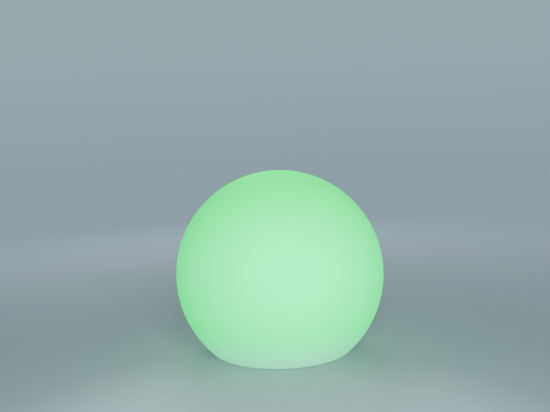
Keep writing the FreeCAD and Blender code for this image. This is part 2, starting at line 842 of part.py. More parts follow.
def battery_cradle():
    """A tray with two end walls and two pairs of saddles, held by one screw and the clamp."""
    length = cradle_half_length
    width = cradle_half_width
    floor_top_z = floor_z + cradle_floor
    wall_top_z = cell_z + cradle_wall_above_axis
    inner_end = length - cradle_wall
    pieces = [
        block(length - cradle_wall, length, -width, width, floor_top_z, wall_top_z),
        block(-length, -length + cradle_wall, -width, width, floor_top_z, wall_top_z),
    ]
    half_saddle = saddle_width / 2
    saddle_top_z = floor_top_z + saddle_height
    for x in (-saddle_spacing / 2, saddle_spacing / 2):
        pieces.append(block(x - half_saddle, x + half_saddle, -width, width, floor_top_z, saddle_top_z))
    half_ear = cradle_ear_width / 2
    ear = block(-length - cradle_ear_length, -length, -half_ear, half_ear, floor_z, floor_top_z)
    tray = block(-length, length, -width, width, floor_z, floor_top_z).fuse(pieces + [ear]).removeSplitter()
    beds = [
        Part.makeCylinder(
            cell_diameter / 2 + saddle_clearance, 2 * inner_end, Vector(-inner_end, y, cell_z), X_AXIS
        )
        for y in (cell_y, -cell_y)
    ]
    screw_hole = disc(small_screw_radius + small_hole_clearance, floor_z, floor_top_z, cradle_screw_x, 0)
    return tray.cut(beds + [screw_hole])


def cell_link():
    """The strip that joins the cells at the end where one is positive and the other negative."""
    end = cell_length / 2
    half = link_size / 2
    return block(end, end + link_thickness, -cell_y - half, cell_y + half, cell_z - half, cell_z + half)


def protection_board():
    """The board across the cells' ends, with a tab to each of them."""
    inner = protection_board_x + protection_board_thickness
    half_board = cell_y + protection_board_margin / 2
    low = cell_z - protection_board_drop
    board = block(protection_board_x, inner, -half_board, half_board, low, protection_board_top_z)
    half = cell_tab_size / 2
    cell_end = -cell_length / 2
    for y in (cell_y, -cell_y):
        board = board.fuse(block(inner, cell_end, y - half, y + half, cell_z - half, cell_z + half))
    return board


def cradle_screw():
    seat = floor_z + cradle_floor
    return screw(
        cradle_screw_x, 0, seat, small_head_radius, small_head_height, small_screw_radius, cradle_screw_length
    )


def battery_clamp():
    """A bridge over both cells that stands on two bosses of the housing."""
    half = clamp_width / 2
    leg_inner = cell_y + cell_diameter / 2 + clamp_leg_clearance
    leg_outer = leg_inner + clamp_thickness
    foot_z = floor_z + clamp_boss_height
    pieces = [block(-half, half, -leg_outer, leg_outer, clamp_z, clamp_z + clamp_thickness)]
    for side in (1, -1):
        inner, outer = sorted((side * leg_inner, side * leg_outer))
        pieces.append(block(-half, half, inner, outer, foot_z, clamp_z))
        near, far = sorted((side * leg_inner, side * (clamp_screw_y + clamp_boss_radius)))
        pieces.append(block(-half, half, near, far, foot_z, foot_z + clamp_thickness))
    clamp = pieces[0].fuse(pieces[1:]).removeSplitter()
    hole_radius = small_screw_radius + small_hole_clearance
    foot_top_z = foot_z + clamp_thickness
    return clamp.cut([disc(hole_radius, foot_z, foot_top_z, x, y) for x, y in clamp_screw_places])


def battery_clamp_screw(x, y):
    seat = floor_z + clamp_boss_height + clamp_thickness
    length = clamp_boss_height + clamp_thickness + clamp_screw_beyond
    return screw(x, y, seat, small_head_radius, small_head_height, small_screw_radius, length)


def battery_lead(y):
    """A wire from the protection board up to the connector on the control board."""
    x = protection_board_x + protection_board_thickness / 2
    high = control_board_top_z + lead_above_board
    corners = [Vector(x, y, protection_board_top_z), Vector(x, y, high), Vector(battery_plug_x, y, high)]
    return thin_wire(corners, ribbon_bend, lead_radius)


# ---- control board and light board -----------------------------------------------------------

battery_plug_x = -board_radius + battery_plug_from_edge
io_plug_x = board_radius - io_plug_from_edge
led_plug_y = -board_radius + led_plug_from_edge
led_ribbon_y = led_plug_y + cable_plug_depth / 2
ribbon_x = cup_inner_radius - ribbon_to_cup
board_hole_radius = m3_radius + m3_hole_clearance


def control_board():
    board = disc(board_radius, control_board_z, control_board_top_z)
    half_notch = lead_notch_width / 2
    notch_end = -board_radius + lead_notch_depth
    notch = block(-board_radius - 1, notch_end, -half_notch, half_notch, control_board_z, control_board_top_z)
    holes = [disc(board_hole_radius, control_board_z, control_board_top_z, x, y) for x, y in post_places]
    return board.cut(holes + [notch])


def on_board(x_size, y_size, height, x, y):
    """A block that stands on the control board, centred on (x, y)."""
    low = control_board_top_z
    return block(x - x_size / 2, x + x_size / 2, y - y_size / 2, y + y_size / 2, low, low + height)


def control_chip():
    return on_board(chip_size, chip_size, chip_height, chip_x, 0)


def driver_transistors():
    middle = (transistor_count - 1) / 2
    rows = [(i - middle) * transistor_pitch for i in range(transistor_count)]
    return [on_board(transistor_size, transistor_size, transistor_height, transistor_x, y) for y in rows]


def buffer_capacitor():
    top = control_board_top_z + capacitor_height
    return disc(capacitor_radius, control_board_top_z, top, capacitor_x, capacitor_y)


def board_connectors():
    """The plugs of the battery leads, of the socket's ribbon and of the light board's ribbon."""
    battery_x = battery_plug_x + battery_plug_length / 2
    io_x = io_plug_x - io_plug_depth / 2
    return [
        on_board(battery_plug_length, battery_plug_width, battery_plug_height, battery_x, 0),
        on_board(io_plug_depth, cable_plug_length, cable_plug_height, io_x, 0),
        on_board(cable_plug_length, cable_plug_depth, cable_plug_height, 0, led_ribbon_y),
    ]


def io_ribbon():
    """The flat cable from the socket's board, out of the grip bar and up to the control board."""
    low = io_board_top_z + ribbon_above_io_board
    high = control_board_top_z + ribbon_above_control_board
    start = io_board_half_length - ribbon_plug_from_end
    route = [(start, low), (ribbon_x, low), (ribbon_x, high), (io_plug_x, high)]
    corners = [Vector(x, 0, z) for x, z in route]
    return flat_cable(corners, ribbon_bend, ribbon_thickness, ribbon_width)


def io_ribbon_plug():
    end = io_board_half_length - ribbon_plug_from_end
    half = ribbon_plug_width / 2
    top = io_board_top_z + ribbon_plug_height
    return block(end - ribbon_plug_length, end, -half, half, io_board_top_z, top)


def led_ribbon():
    """The short flat cable from the control board up to the light board."""
    half_width = ribbon_width / 2
    half = ribbon_thickness / 2
    low = control_board_top_z + cable_plug_height
    return block(-half_width, half_width, led_ribbon_y - half, led_ribbon_y + half, low, led_board_z)


def board_standoff(x, y):
    """A six-sided spacer with a stud that goes through the control board into its post."""
    body = hexagon(standoff_flats, control_board_top_z, spreader_z, x, y)
    stud = disc(m3_radius, control_board_z - standoff_stud, control_board_top_z, x, y)
    hole = disc(m3_radius, spreader_z - standoff_hole, spreader_z, x, y)
    return body.fuse(stud).cut(hole)


def heat_spreader():
    plate = disc(board_radius, spreader_z, led_board_z)
    holes = [disc(board_hole_radius, spreader_z, led_board_z, x, y) for x, y in post_places]
    half_length = ribbon_width / 2 + slot_beside_ribbon
    near = led_ribbon_y - slot_width / 2
    cable_slot = block(-half_length, half_length, near, near + slot_width, spreader_z, led_board_z)
    return plate.cut(holes + [cable_slot])


def led_board():
    board = disc(board_radius, led_board_z, led_board_top_z)
    return board.cut([disc(board_hole_radius, led_board_z, led_board_top_z, x, y) for x, y in post_places])


def lamp_chips(count, circle, size, height):
    """Square light chips set square to the radius they stand on."""
    half = size / 2
    chip = block(circle - half, circle + half, -half, half, led_board_top_z, led_board_top_z + height)
    return repeated([chip.rotated(ORIGIN, Z_AXIS, 180 / count)], count)


def ir_receiver():
    """The remote-control eye: a small block with a round front, looking up through the lens."""
    half_length = receiver_length / 2
    half_width = receiver_width / 2
    top = led_board_top_z + receiver_height
    body = block(-half_length, half_length, -half_width, half_width, led_board_top_z, top)
    return body.fuse(disc(receiver_eye_radius, top, top + receiver_eye_height))


def led_board_screw(x, y):
    return screw(x, y, led_board_top_z, m3_head_radius, m3_head_height, m3_radius, board_screw_length)


# ---- lens ------------------------------------------------------------------------------------

def lens_gasket():
    gasket = ring(cup_radius, board_radius + lens_gasket_to_board, rim_z, lens_z)
    return gasket.cut([disc(m3_radius, rim_z, lens_z, x, y) for x, y in lens_screw_places])


def lens_cover():
    """A frosted drum with a sloped shoulder and a flange that the screws go through."""
    top_z = lens_flange_top_z + lens_height
    shoulder_z = top_z - lens_crown
    inner = lens_radius - lens_wall
    cover = turned(
        (inner, lens_z),
        (cup_radius, lens_z),
        (cup_radius, lens_flange_top_z),
        (lens_radius, lens_flange_top_z),
        (lens_radius - lens_taper, shoulder_z),
        (lens_radius - lens_crown - lens_taper, top_z),
        (0, top_z),
        (0, top_z - lens_wall),
        (inner - lens_crown, top_z - lens_wall),
        (inner - lens_taper, shoulder_z),
    )
    return cover.cut([disc(m3_radius, lens_z, lens_flange_top_z, x, y) for x, y in lens_screw_places])


def lens_screw(x, y):
    seat = lens_flange_top_z
    return screw(x, y, seat, m3_head_radius, m3_head_height, small_screw_radius, lens_screw_length)


# ---- every piece by name ---------------------------------------------------------------------

def all_parts():
    rgb_leds = lamp_chips(rgb_led_count, rgb_led_circle, rgb_led_size, rgb_led_height)
    white_leds = lamp_chips(white_led_count, white_led_circle, white_led_size, white_led_height)
    parts = {
        "globe_shell": globe_shell(),
        "neck_inserts": together([neck_insert(x, y) for x, y in neck_screw_places]),
        "neck_gasket": neck_gasket(),
        "neck_ring": neck_ring(),
        "neck_ring_screws": together([neck_ring_screw(x, y) for x, y in neck_screw_places]),
        "base_housing": base_housing(),
        "seal_ring": seal_ring(),
        "power_button": power_button(),
        "button_seal": button_seal(),
        "switch_plunger": switch_plunger(),
        "power_switch": power_switch(),
        "charge_socket": charge_socket(),
        "port_cover": port_cover(),
        "port_cover_pin": port_cover_pin(),
        "status_window": status_window(),
        "status_led": status_led(),
        "io_board": io_board(),
        "io_board_screws": together([io_board_screw(x, y) for x, y in io_screw_places]),
        "io_ribbon_plug": io_ribbon_plug(),
        "io_ribbon": io_ribbon(),
        "battery_cell_1": battery_cell(cell_y),
        "battery_cell_2": battery_cell(-cell_y),
        "battery_cradle": battery_cradle(),
        "cell_link": cell_link(),
        "protection_board": protection_board(),
        "cradle_screw": cradle_screw(),
        "battery_clamp": battery_clamp(),
        "battery_clamp_screws": together([battery_clamp_screw(x, y) for x, y in clamp_screw_places]),
        "battery_lead_red": battery_lead(lead_spacing / 2),
        "battery_lead_black": battery_lead(-lead_spacing / 2),
        "control_board": control_board(),
        "control_chip": control_chip(),
        "driver_transistors": together(driver_transistors()),
        "buffer_capacitor": buffer_capacitor(),
        "board_connectors": together(board_connectors()),
        "board_standoffs": together([board_standoff(x, y) for x, y in post_places]),
        "heat_spreader": heat_spreader(),
        "led_ribbon": led_ribbon(),
        "led_board": led_board(),
        "rgb_leds": together(rgb_leds),
        "white_leds": together(white_leds),
        "ir_receiver": ir_receiver(),
        "led_board_screws": together([led_board_screw(x, y) for x, y in post_places]),
        "lens_gasket": lens_gasket(),
        "lens_cover": lens_cover(),
        "lens_screws": together([lens_screw(x, y) for x, y in lens_screw_places]),
    }
    for number, (x, y) in enumerate(foot_places, 1):
        parts[f"foot_pad_{number}"] = foot_pad(x, y)
    return parts


os.makedirs("parts", exist_ok=True)
for name, shape in all_parts().items():
    if not shape.isValid():
        print("not valid:", name)
    shape.exportStep(f"parts/{name}.step")
    print(f"{name}: {len(shape.Solids)} solid(s), {shape.Volume / 1000:.2f} cm3")
print(f"height {globe_centre_z + globe_radius:.2f} mm, unlock turn {unlock_angle:.2f} degrees")
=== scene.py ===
import json
import math

import bmesh
import bpy
from mathutils import Matrix, Vector


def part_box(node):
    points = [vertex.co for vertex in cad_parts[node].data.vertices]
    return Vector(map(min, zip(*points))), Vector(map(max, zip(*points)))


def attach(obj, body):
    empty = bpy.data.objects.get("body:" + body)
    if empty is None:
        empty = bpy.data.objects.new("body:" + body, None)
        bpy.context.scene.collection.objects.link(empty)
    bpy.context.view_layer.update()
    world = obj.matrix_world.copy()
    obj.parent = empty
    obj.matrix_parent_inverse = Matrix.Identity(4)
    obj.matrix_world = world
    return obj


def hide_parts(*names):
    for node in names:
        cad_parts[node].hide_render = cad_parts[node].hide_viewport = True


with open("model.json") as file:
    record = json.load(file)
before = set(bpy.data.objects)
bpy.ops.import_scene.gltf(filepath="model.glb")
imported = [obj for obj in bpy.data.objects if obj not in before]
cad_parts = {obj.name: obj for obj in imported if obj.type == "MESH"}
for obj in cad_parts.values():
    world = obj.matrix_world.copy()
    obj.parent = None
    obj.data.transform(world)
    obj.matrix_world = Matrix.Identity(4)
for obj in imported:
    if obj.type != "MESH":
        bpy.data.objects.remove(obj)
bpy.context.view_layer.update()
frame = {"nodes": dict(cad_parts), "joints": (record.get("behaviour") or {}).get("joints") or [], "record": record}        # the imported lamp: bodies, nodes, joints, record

nodes = frame["nodes"]
bodyOf = {node: body for body, names in frame["record"]["behaviour"]["bodies"].items() for node in names}
slotOf = {part["node"]: part["material_slot"] for part in frame["record"]["subparts"]}
scene = bpy.context.scene


# meshes

def newBmesh():
    bm = bmesh.new()
    bm.faces.layers.float.new("finish")
    return bm


def looseMesh(bm, name="loose"):
    mesh = bpy.data.meshes.new(name)
    bm.to_mesh(mesh)
    bm.free()
    return mesh


def smoothed(piece, angle=35.0):
    piece.data.shade_smooth()
    piece.data.set_sharp_from_angle(angle=math.radians(angle))
    return piece


def meshObject(name, bm, smoothAngle=35.0):
    bmesh.ops.remove_doubles(bm, verts=bm.verts, dist=1e-7)
    piece = bpy.data.objects.new(name, looseMesh(bm, name))
    scene.collection.objects.link(piece)
    return smoothed(piece, smoothAngle)


def stand(piece, node, material=None):
    # the piece takes the place and the body of a CAD node and, if given no other, the finish of its slot
    piece.data.materials.clear()
    piece.data.materials.append(material or finish[slotOf[node]])
    evened = piece.modifiers.new("normals", "WEIGHTED_NORMAL")      # keeps flat faces flat beside round edges
    evened.keep_sharp = True
    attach(piece, bodyOf[node])
    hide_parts(node)
    return piece


def applied(piece, smoothAngle=35.0):
    # writes the modifiers of a piece into its mesh
    bpy.context.view_layer.update()
    depsgraph = bpy.context.evaluated_depsgraph_get()
    mesh = bpy.data.meshes.new_from_object(piece.evaluated_get(depsgraph))
    piece.modifiers.clear()
    piece.data = mesh
    return smoothed(piece, smoothAngle)


def carved(piece, toolMesh, operation="DIFFERENCE", smoothAngle=35.0):
    # cuts or joins a bmesh with the mesh of a piece
    tool = meshObject("tool", toolMesh)
    modifier = piece.modifiers.new(operation.lower(), "BOOLEAN")
    modifier.operation = operation
    modifier.solver = "EXACT"
    modifier.object = tool
    applied(piece, smoothAngle)
    bpy.data.objects.remove(tool)
    return piece


def detailed(piece, work, smoothAngle=40.0):
    # opens the mesh of a piece, all faces numbered 0, for a function that adds to it or marks its faces
    bm = bmesh.new()
    bm.from_mesh(piece.data)
    marked(bm, bm.faces, 0)
    work(bm)
    bm.to_mesh(piece.data)
    bm.free()
    return smoothed(piece, smoothAngle)


def mergedCopy(node):
    bm = bmesh.new()
    bm.from_mesh(nodes[node].data)
    bmesh.ops.remove_doubles(bm, verts=bm.verts, dist=2e-6)
    return bm


def softened(name, node, width):
    # a merged copy of a CAD node with its flat faces whole again and its sharp edges rounded
    bm = mergedCopy(node)
    bmesh.ops.dissolve_limit(bm, angle_limit=math.radians(1.0), verts=bm.verts, edges=bm.edges)
    piece = meshObject(name, bm)
    modifier = piece.modifiers.new("edges", "BEVEL")
    modifier.width = width
    modifier.segments = 2
    modifier.limit_method = "ANGLE"
    modifier.angle_limit = math.radians(30)
    modifier.use_clamp_overlap = True
    return applied(piece, 40)


def solidBoxes(node):
    # the corners of each separate solid of a node, in order of its angle about Z
    bm = mergedCopy(node)
    boxes = []
    unseen = set(bm.verts)
    while unseen:
        front = [unseen.pop()]
        island = list(front)
        while front:
            near = {edge.other_vert(vert) for vert in front for edge in vert.link_edges} & unseen
            unseen -= near
            island += near
            front = list(near)
        places = [vert.co for vert in island]
        low = Vector([min(place[axis] for place in places) for axis in range(3)])
        high = Vector([max(place[axis] for place in places) for axis in range(3)])
        boxes.append((low, high))
    bm.free()
    boxes.sort(key=lambda box: math.atan2(box[0].y + box[1].y, box[0].x + box[1].x))
    return boxes


def middle(box):
    return (box[0] + box[1]) / 2


def halfWidth(box):
    return (box[1].x - box[0].x) / 2


def marked(bm, faces, finish):
    # numbers the faces, so that one material can give each number its own finish
    layer = bm.faces.layers.float.get("finish") or bm.faces.layers.float.new("finish")
    for face in faces:
        face[layer] = finish


def repainted(bm, finish, test):
    marked(bm, [face for face in bm.faces if test(face.calc_center_median())], finish)


def addBlock(bm, low, high, edge=0.0, finish=0, segments=2):
    # a block with rounded edges between two corners
    low, high = Vector(low), Vector(high)
    before = set(bm.faces)
    made = bmesh.ops.create_cube(bm, size=1.0)["verts"]
    bmesh.ops.scale(bm, vec=high - low, verts=made)
    bmesh.ops.translate(bm, vec=(low + high) / 2, verts=made)
    if edge:
        edges = list({side for vert in made for side in vert.link_edges})
        bmesh.ops.bevel(
            bm, geom=edges, offset=edge, segments=segments, profile=0.5, affect="EDGES", material=-1,
        )
    marked(bm, [face for face in bm.faces if face not in before], finish)


def addSpun(bm, outline, steps, centre=(0, 0), closed=False, finish=0):
    # turns (radius, height) points about an upright line; open outlines begin and end on that line
    verts = [bm.verts.new((centre[0] + radius, centre[1], height)) for radius, height in outline]
    edges = [bm.edges.new(pair) for pair in zip(verts, verts[1:])]
    if closed:
        edges.append(bm.edges.new((verts[-1], verts[0])))
    before = set(bm.faces)
    bmesh.ops.spin(
        bm, geom=verts + edges, cent=(centre[0], centre[1], 0), axis=(0, 0, 1),
        angle=2 * math.pi, steps=steps, use_merge=True,
    )
    made = {vert for face in bm.faces if face not in before for vert in face.verts}
    bmesh.ops.remove_doubles(bm, verts=list(made), dist=1e-7)
    faces = [face for face in bm.faces if face not in before]
    bmesh.ops.recalc_face_normals(bm, faces=faces)
    marked(bm, faces, finish)


def addCopy(bm, mesh, matrix):
    # adds a mesh to another, moved by a matrix
    before = set(bm.verts)
    bm.from_mesh(mesh)
    bmesh.ops.transform(bm, matrix=matrix, verts=[vert for vert in bm.verts if vert not in before])


def spunMesh(outline, steps, centre=(0, 0), closed=False):
    bm = newBmesh()
    addSpun(bm, outline, steps, centre, closed)
    return bm


def spunPiece(name, node, outline, steps, smoothAngle=30.0, closed=False):
    # a turned piece about the upright middle line of its node
    bm = spunMesh(outline, steps, middle(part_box(node)), closed)
    return stand(meshObject(name, bm, smoothAngle), node)


def plainPiece(name, node, width):
    # a piece that needs no more than its CAD node with its edges rounded over a width
    return stand(softened(name, node, width), node)


def pushed(bm, face, move):
    # draws a face out along a move, into a closed block
    grown = bmesh.ops.extrude_face_region(bm, geom=[face], use_keep_orig=True)["geom"]
    ends = [item for item in grown if isinstance(item, bmesh.types.BMVert)]
    bmesh.ops.translate(bm, vec=move, verts=ends)
    bmesh.ops.recalc_face_normals(bm, faces=bm.faces)


def taken(piece):
    # the mesh alone of a piece that serves as a pattern
    mesh = piece.data
    bpy.data.objects.remove(piece)
    return mesh


def disc(radius, low, high):
    return [(0, low), (radius, low), (radius, high), (0, high)]


def evenly(count, pitch):
    # places at one pitch, centred on zero
    return [(number - (count - 1) / 2) * pitch for number in range(count)]


def arcPoints(centreR, centreZ, radius, start, end, count):
    # points along an arc in the (radius, height) plane, angles in degrees from the level
    angles = [math.radians(start + (end - start) * i / count) for i in range(count + 1)]
    return [(centreR + radius * math.cos(a), centreZ + radius * math.sin(a)) for a in angles]


def domeBend(radius, rise):
    # the radius of a dome over a circle, and half the angle that it spans
    bend = (radius ** 2 + rise ** 2) / (2 * rise)
    return bend, math.degrees(math.asin(min(1.0, radius / bend)))


upsideDown = Matrix.Rotation(math.pi, 4, "X")


def turnZ(degrees):
    return Matrix.Rotation(math.radians(degrees), 4, "Z")


def onCircle(radius, angle):
    return Vector((radius * math.cos(math.radians(angle)), radius * math.sin(math.radians(angle)), 0))


# shader nodes

def given(tree, node, inputs):
    # an input takes another node's socket, a number, a vector or a colour
    for label, value in inputs.items():
        socket = node.inputs[label]
        if isinstance(value, bpy.types.NodeSocket):
            tree.links.new(value, socket)
        else:
            socket.default_value = (*value, 1) if socket.type == "RGBA" else value
    return node


def addNode(tree, kind, inputs=None, **settings):
    node = tree.nodes.new("ShaderNode" + kind)
    for label, value in settings.items():
        setattr(node, label, value)
    return given(tree, node, inputs or {})


def objectPlace(tree):
    return addNode(tree, "TexCoord").outputs["Object"]


def worked(tree, operation, *values):
    return addNode(tree, "Math", dict(enumerate(values)), operation=operation).outputs[0]


def mixed(tree, factor, first, second, blend="MIX"):
    # a Mix node in colour mode: its factor is input 0, its colours are inputs 6 and 7 and output 2
    inputs = {0: factor, 6: first, 7: second}
    return addNode(tree, "Mix", inputs, data_type="RGBA", blend_type=blend).outputs[2]


def ranged(tree, value, start, end, low=0.0, high=1.0, **settings):
    inputs = {"Value": value, "From Min": start, "From Max": end, "To Min": low, "To Max": high}
    return addNode(tree, "MapRange", inputs, **settings).outputs["Result"]


def noise(tree, scale, detail=2.0, stretch=None):
    place = objectPlace(tree)
    if stretch:
        place = addNode(tree, "Mapping", {"Vector": place, "Scale": stretch}).outputs[0]
    return addNode(tree, "TexNoise", {"Vector": place, "Scale": scale, "Detail": detail}).outputs["Fac"]


def toned(tree, colour, scale, low, high):
    # a colour whose tone drifts between two shares of itself
    return mixed(tree, 1.0, colour, ranged(tree, noise(tree, scale, 3.0), 0.0, 1.0, low, high), "MULTIPLY")


def bumped(tree, height, strength, distance):
    inputs = {"Height": height, "Strength": strength, "Distance": distance}
    return addNode(tree, "Bump", inputs).outputs["Normal"]


def colourRamp(tree, value, stops, interpolation="EASE"):
    ramp = addNode(tree, "ValToRGB", {"Fac": value})
    ramp.color_ramp.interpolation = interpolation
    while len(ramp.color_ramp.elements) < len(stops):
        ramp.color_ramp.elements.new(0.5)
    for element, (place, colour) in zip(ramp.color_ramp.elements, stops):
        element.position = place
        element.color = (*colour, 1)
    return ramp.outputs["Color"]


# shared shader groups

def nodeGroup(name, **inputs):
    group = bpy.data.node_groups.new(name, "ShaderNodeTree")
    for label, value in inputs.items():
        kind = "NodeSocketColor" if isinstance(value, tuple) else "NodeSocketFloat"
        group.interface.new_socket(name=label, in_out="INPUT", socket_type=kind).default_value = value
    return group, group.nodes.new("NodeGroupInput").outputs


def groupGives(group, **results):
    # the named outputs of a group, each with the socket that feeds it
    for label, value in results.items():
        kind = "NodeSocketColor" if value.type == "RGBA" else "NodeSocketFloat"
        group.interface.new_socket(name=label, in_out="OUTPUT", socket_type=kind)
    given(group, group.nodes.new("NodeGroupOutput"), results)
    return group


def fineGrainGroup():
    # the fine skin of a moulding: a height for Bump, and a slow drift of its gloss
    group, source = nodeGroup("fineGrain", Scale=900.0, Drift=0.05, Roughness=0.5)
    drift = worked(group, "SUBTRACT", noise(group, 22.0), 0.5)
    rough = worked(group, "MULTIPLY_ADD", drift, source["Drift"], source["Roughness"])
    return groupGives(group, Height=noise(group, source["Scale"], 3.0), Roughness=rough)


def dustFilmGroup():
    # an uneven film of dust over a colour, in soft patches
    grey, dust = (0.5, 0.5, 0.5, 1), (0.45, 0.42, 0.38, 1)
    group, source = nodeGroup("dustFilm", Color=grey, Dust=dust, Amount=0.2, Scale=60.0)
    patches = ranged(group, noise(group, source["Scale"], 4.0), 0.38, 0.72)
    amount = worked(group, "MULTIPLY", patches, source["Amount"])
    return groupGives(group, Color=mixed(group, amount, source["Color"], source["Dust"]))


def brushedLinesGroup():
    # the long fine lines of rolled or drawn metal, along X
    group, source = nodeGroup("brushedLines", Scale=500.0, Contrast=0.2, Roughness=0.3)
    lines = noise(group, source["Scale"], 2.0, (0.03, 1.0, 1.0))
    drift = worked(group, "SUBTRACT", lines, 0.5)
    rough = worked(group, "MULTIPLY_ADD", drift, source["Contrast"], source["Roughness"])
    return groupGives(group, Height=lines, Roughness=rough)


tracks = {
    "length": 1.7,             # of a track before it steps aside, in units of the pattern
    "pitch": 0.16,
    "width": 0.028,
    "stagger": 0.37,
    "shareY": 0.8,             # the bundles along Y are a little coarser
    "areas": 0.9,
    "areaX": 0.62,             # areas above this value carry tracks along X
    "areaY": 0.34,             # and those below this one along Y
    "padScale": 3.0,
    "padSize": 0.10,
    "padDrift": 0.7,
}


def boardTracksGroup():
    # copper under the mask: bundles of tracks along X in some areas and along Y in the others, and pads
    group, source = nodeGroup("boardTracks", Scale=100.0)
    place = objectPlace(group)
    black, white = (0.0, 0.0, 0.0), (1.0, 1.0, 1.0)

    def scaled(share):
        return worked(group, "MULTIPLY", source["Scale"], share)

    def bundle(turn, share):
        turned = addNode(group, "Mapping", {"Vector": place, "Rotation": (0, 0, math.radians(turn))})
        return addNode(group, "TexBrick", {
            "Vector": turned.outputs[0], "Scale": scaled(share), "Color1": black, "Color2": black,
            "Mortar": white, "Brick Width": tracks["length"], "Row Height": tracks["pitch"],
            "Mortar Size": tracks["width"], "Mortar Smooth": 0.2,
        }, offset=tracks["stagger"]).outputs["Color"]

    inputs = {"Vector": place, "Scale": scaled(tracks["areas"])}
    areas = addNode(group, "TexVoronoi", inputs, distance="CHEBYCHEV").outputs["Color"]
    level = addNode(group, "SeparateColor", {0: areas}).outputs[0]
    inX = worked(group, "GREATER_THAN", level, tracks["areaX"])
    inY = worked(group, "LESS_THAN", level, tracks["areaY"])
    alongX = worked(group, "MULTIPLY", bundle(0, 1.0), inX)
    alongY = worked(group, "MULTIPLY", bundle(90, tracks["shareY"]), inY)
    inputs = {"Vector": place, "Scale": scaled(tracks["padScale"]), "Randomness": tracks["padDrift"]}
    dots = addNode(group, "TexVoronoi", inputs).outputs["Distance"]
    pads = worked(group, "LESS_THAN", dots, tracks["padSize"])
    return groupGives(group, Tracks=worked(group, "MAXIMUM", alongX, alongY), Pads=pads)


fineGrain = fineGrainGroup()
dustFilm = dustFilmGroup()
brushedLines = brushedLinesGroup()
boardTracks = boardTracksGroup()


# materials

def newMaterial(name):
    material = bpy.data.materials.new(name)
    material.use_nodes = True
    tree = material.node_tree
    return material, tree, tree.nodes["Principled BSDF"]


def placed(tree, group, **values):
    return addNode(tree, "Group", values, node_tree=group).outputs


def dusted(tree, colour, amount, scale=60.0):
    return placed(tree, dustFilm, Color=colour, Amount=amount, Scale=scale)["Color"]


def mouldedPlastic(name, colour, roughness, grain=900.0, bump=0.15, dust=0.0):
    # an injection moulding with a fine eroded skin, a slight drift of tone, and dust if asked for
    material, tree, shader = newMaterial(name)
    skin = placed(tree, fineGrain, Scale=grain, Drift=0.12, Roughness=roughness)
    given(tree, shader, {
        "Base Color": dusted(tree, toned(tree, colour, 35.0, 0.94, 1.04), dust),
        "Roughness": skin["Roughness"],
        "Normal": bumped(tree, skin["Height"], bump, 0.0002),
    })
    return material


def bareMetal(name, colour, roughness, lines=500.0, contrast=0.2):
    material, tree, shader = newMaterial(name)
    brushed = placed(tree, brushedLines, Scale=lines, Contrast=contrast, Roughness=roughness)
    given(tree, shader, {
        "Base Color": toned(tree, colour, 120.0, 0.90, 1.06),
        "Metallic": 1.0,
        "Roughness": brushed["Roughness"],
        "Normal": bumped(tree, brushed["Height"], 0.08, 0.0001),
    })
    return material


def circuitBoard(name, maskColour, trackColour, padColour, scale):
    # solder mask over copper: the tracks show lighter and raised, the pads bare
    material, tree, shader = newMaterial(name)
    copper = placed(tree, boardTracks, Scale=scale)
    skin = placed(tree, fineGrain, Scale=600.0, Drift=0.08, Roughness=0.32)
    tinted = mixed(tree, copper["Tracks"], maskColour, trackColour)
    given(tree, shader, {
        "Base Color": mixed(tree, copper["Pads"], tinted, padColour),
        "Metallic": copper["Pads"],
        "Roughness": skin["Roughness"],
        "Normal": bumped(tree, copper["Tracks"], 0.4, 0.0001),
    })
    return material


def finishesMaterial(name, rows, grain=900.0, glow=None):
    # each face number takes its own row: colour, roughness, metallic; the second row may glow
    material, tree, shader = newMaterial(name)
    number = addNode(tree, "Attribute", attribute_name="finish").outputs["Fac"]
    place = worked(tree, "MULTIPLY_ADD", number, 1 / len(rows), 0.5 / len(rows))

    def steps(column):
        stops = [(i / len(rows), column(row)) for i, row in enumerate(rows)]
        return colourRamp(tree, place, stops, "CONSTANT")

    skin = placed(tree, fineGrain, Scale=grain, Drift=0.10, Roughness=0.0)
    given(tree, shader, {
        "Base Color": toned(tree, steps(lambda row: row[0]), 260.0, 0.92, 1.05),
        "Roughness": worked(tree, "ADD", steps(lambda row: (row[1],) * 3), skin["Roughness"]),
        "Normal": bumped(tree, skin["Height"], 0.10, 0.0001),
    })
    if any(row[2] for row in rows):
        given(tree, shader, {"Metallic": steps(lambda row: (row[2],) * 3)})
    if glow:
        light = steps(lambda row: glow if row is rows[1] else (0, 0, 0))
        given(tree, shader, {"Emission Color": light, "Emission Strength": 1.0})
    return material


def softRubber(name, colour, roughness, dust):
    material, tree, shader = newMaterial(name)
    skin = placed(tree, fineGrain, Scale=1500.0, Drift=0.10, Roughness=roughness)
    given(tree, shader, {
        "Base Color": dusted(tree, colour, dust, 160.0),
        "Roughness": skin["Roughness"],
        "Specular IOR Level": 0.35,
        "Normal": bumped(tree, skin["Height"], 0.12, 0.0002),
    })
    return material


# the ball

shellLow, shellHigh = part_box("globe_shell")
ball = {
    "radius": 0.150,
    "wall": 0.003,
    "edgeRadius": 0.002,
    "pocketMouth": 0.078,
    "pocketLand": 0.076,
    "openingRadius": 0.057,
    "bossRadius": 0.007,
    "bossHeight": 0.008,
    "bossEdge": 0.0008,
    "bossSteps": 48,
    "insertSides": 6,
    "seatSteps": 64,
    "steps": 192,
    "rings": 88,
}
ball["flatZ"] = shellLow.z
ball["centreZ"] = shellHigh.z - ball["radius"]
ball["landZ"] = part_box("neck_gasket")[1].z


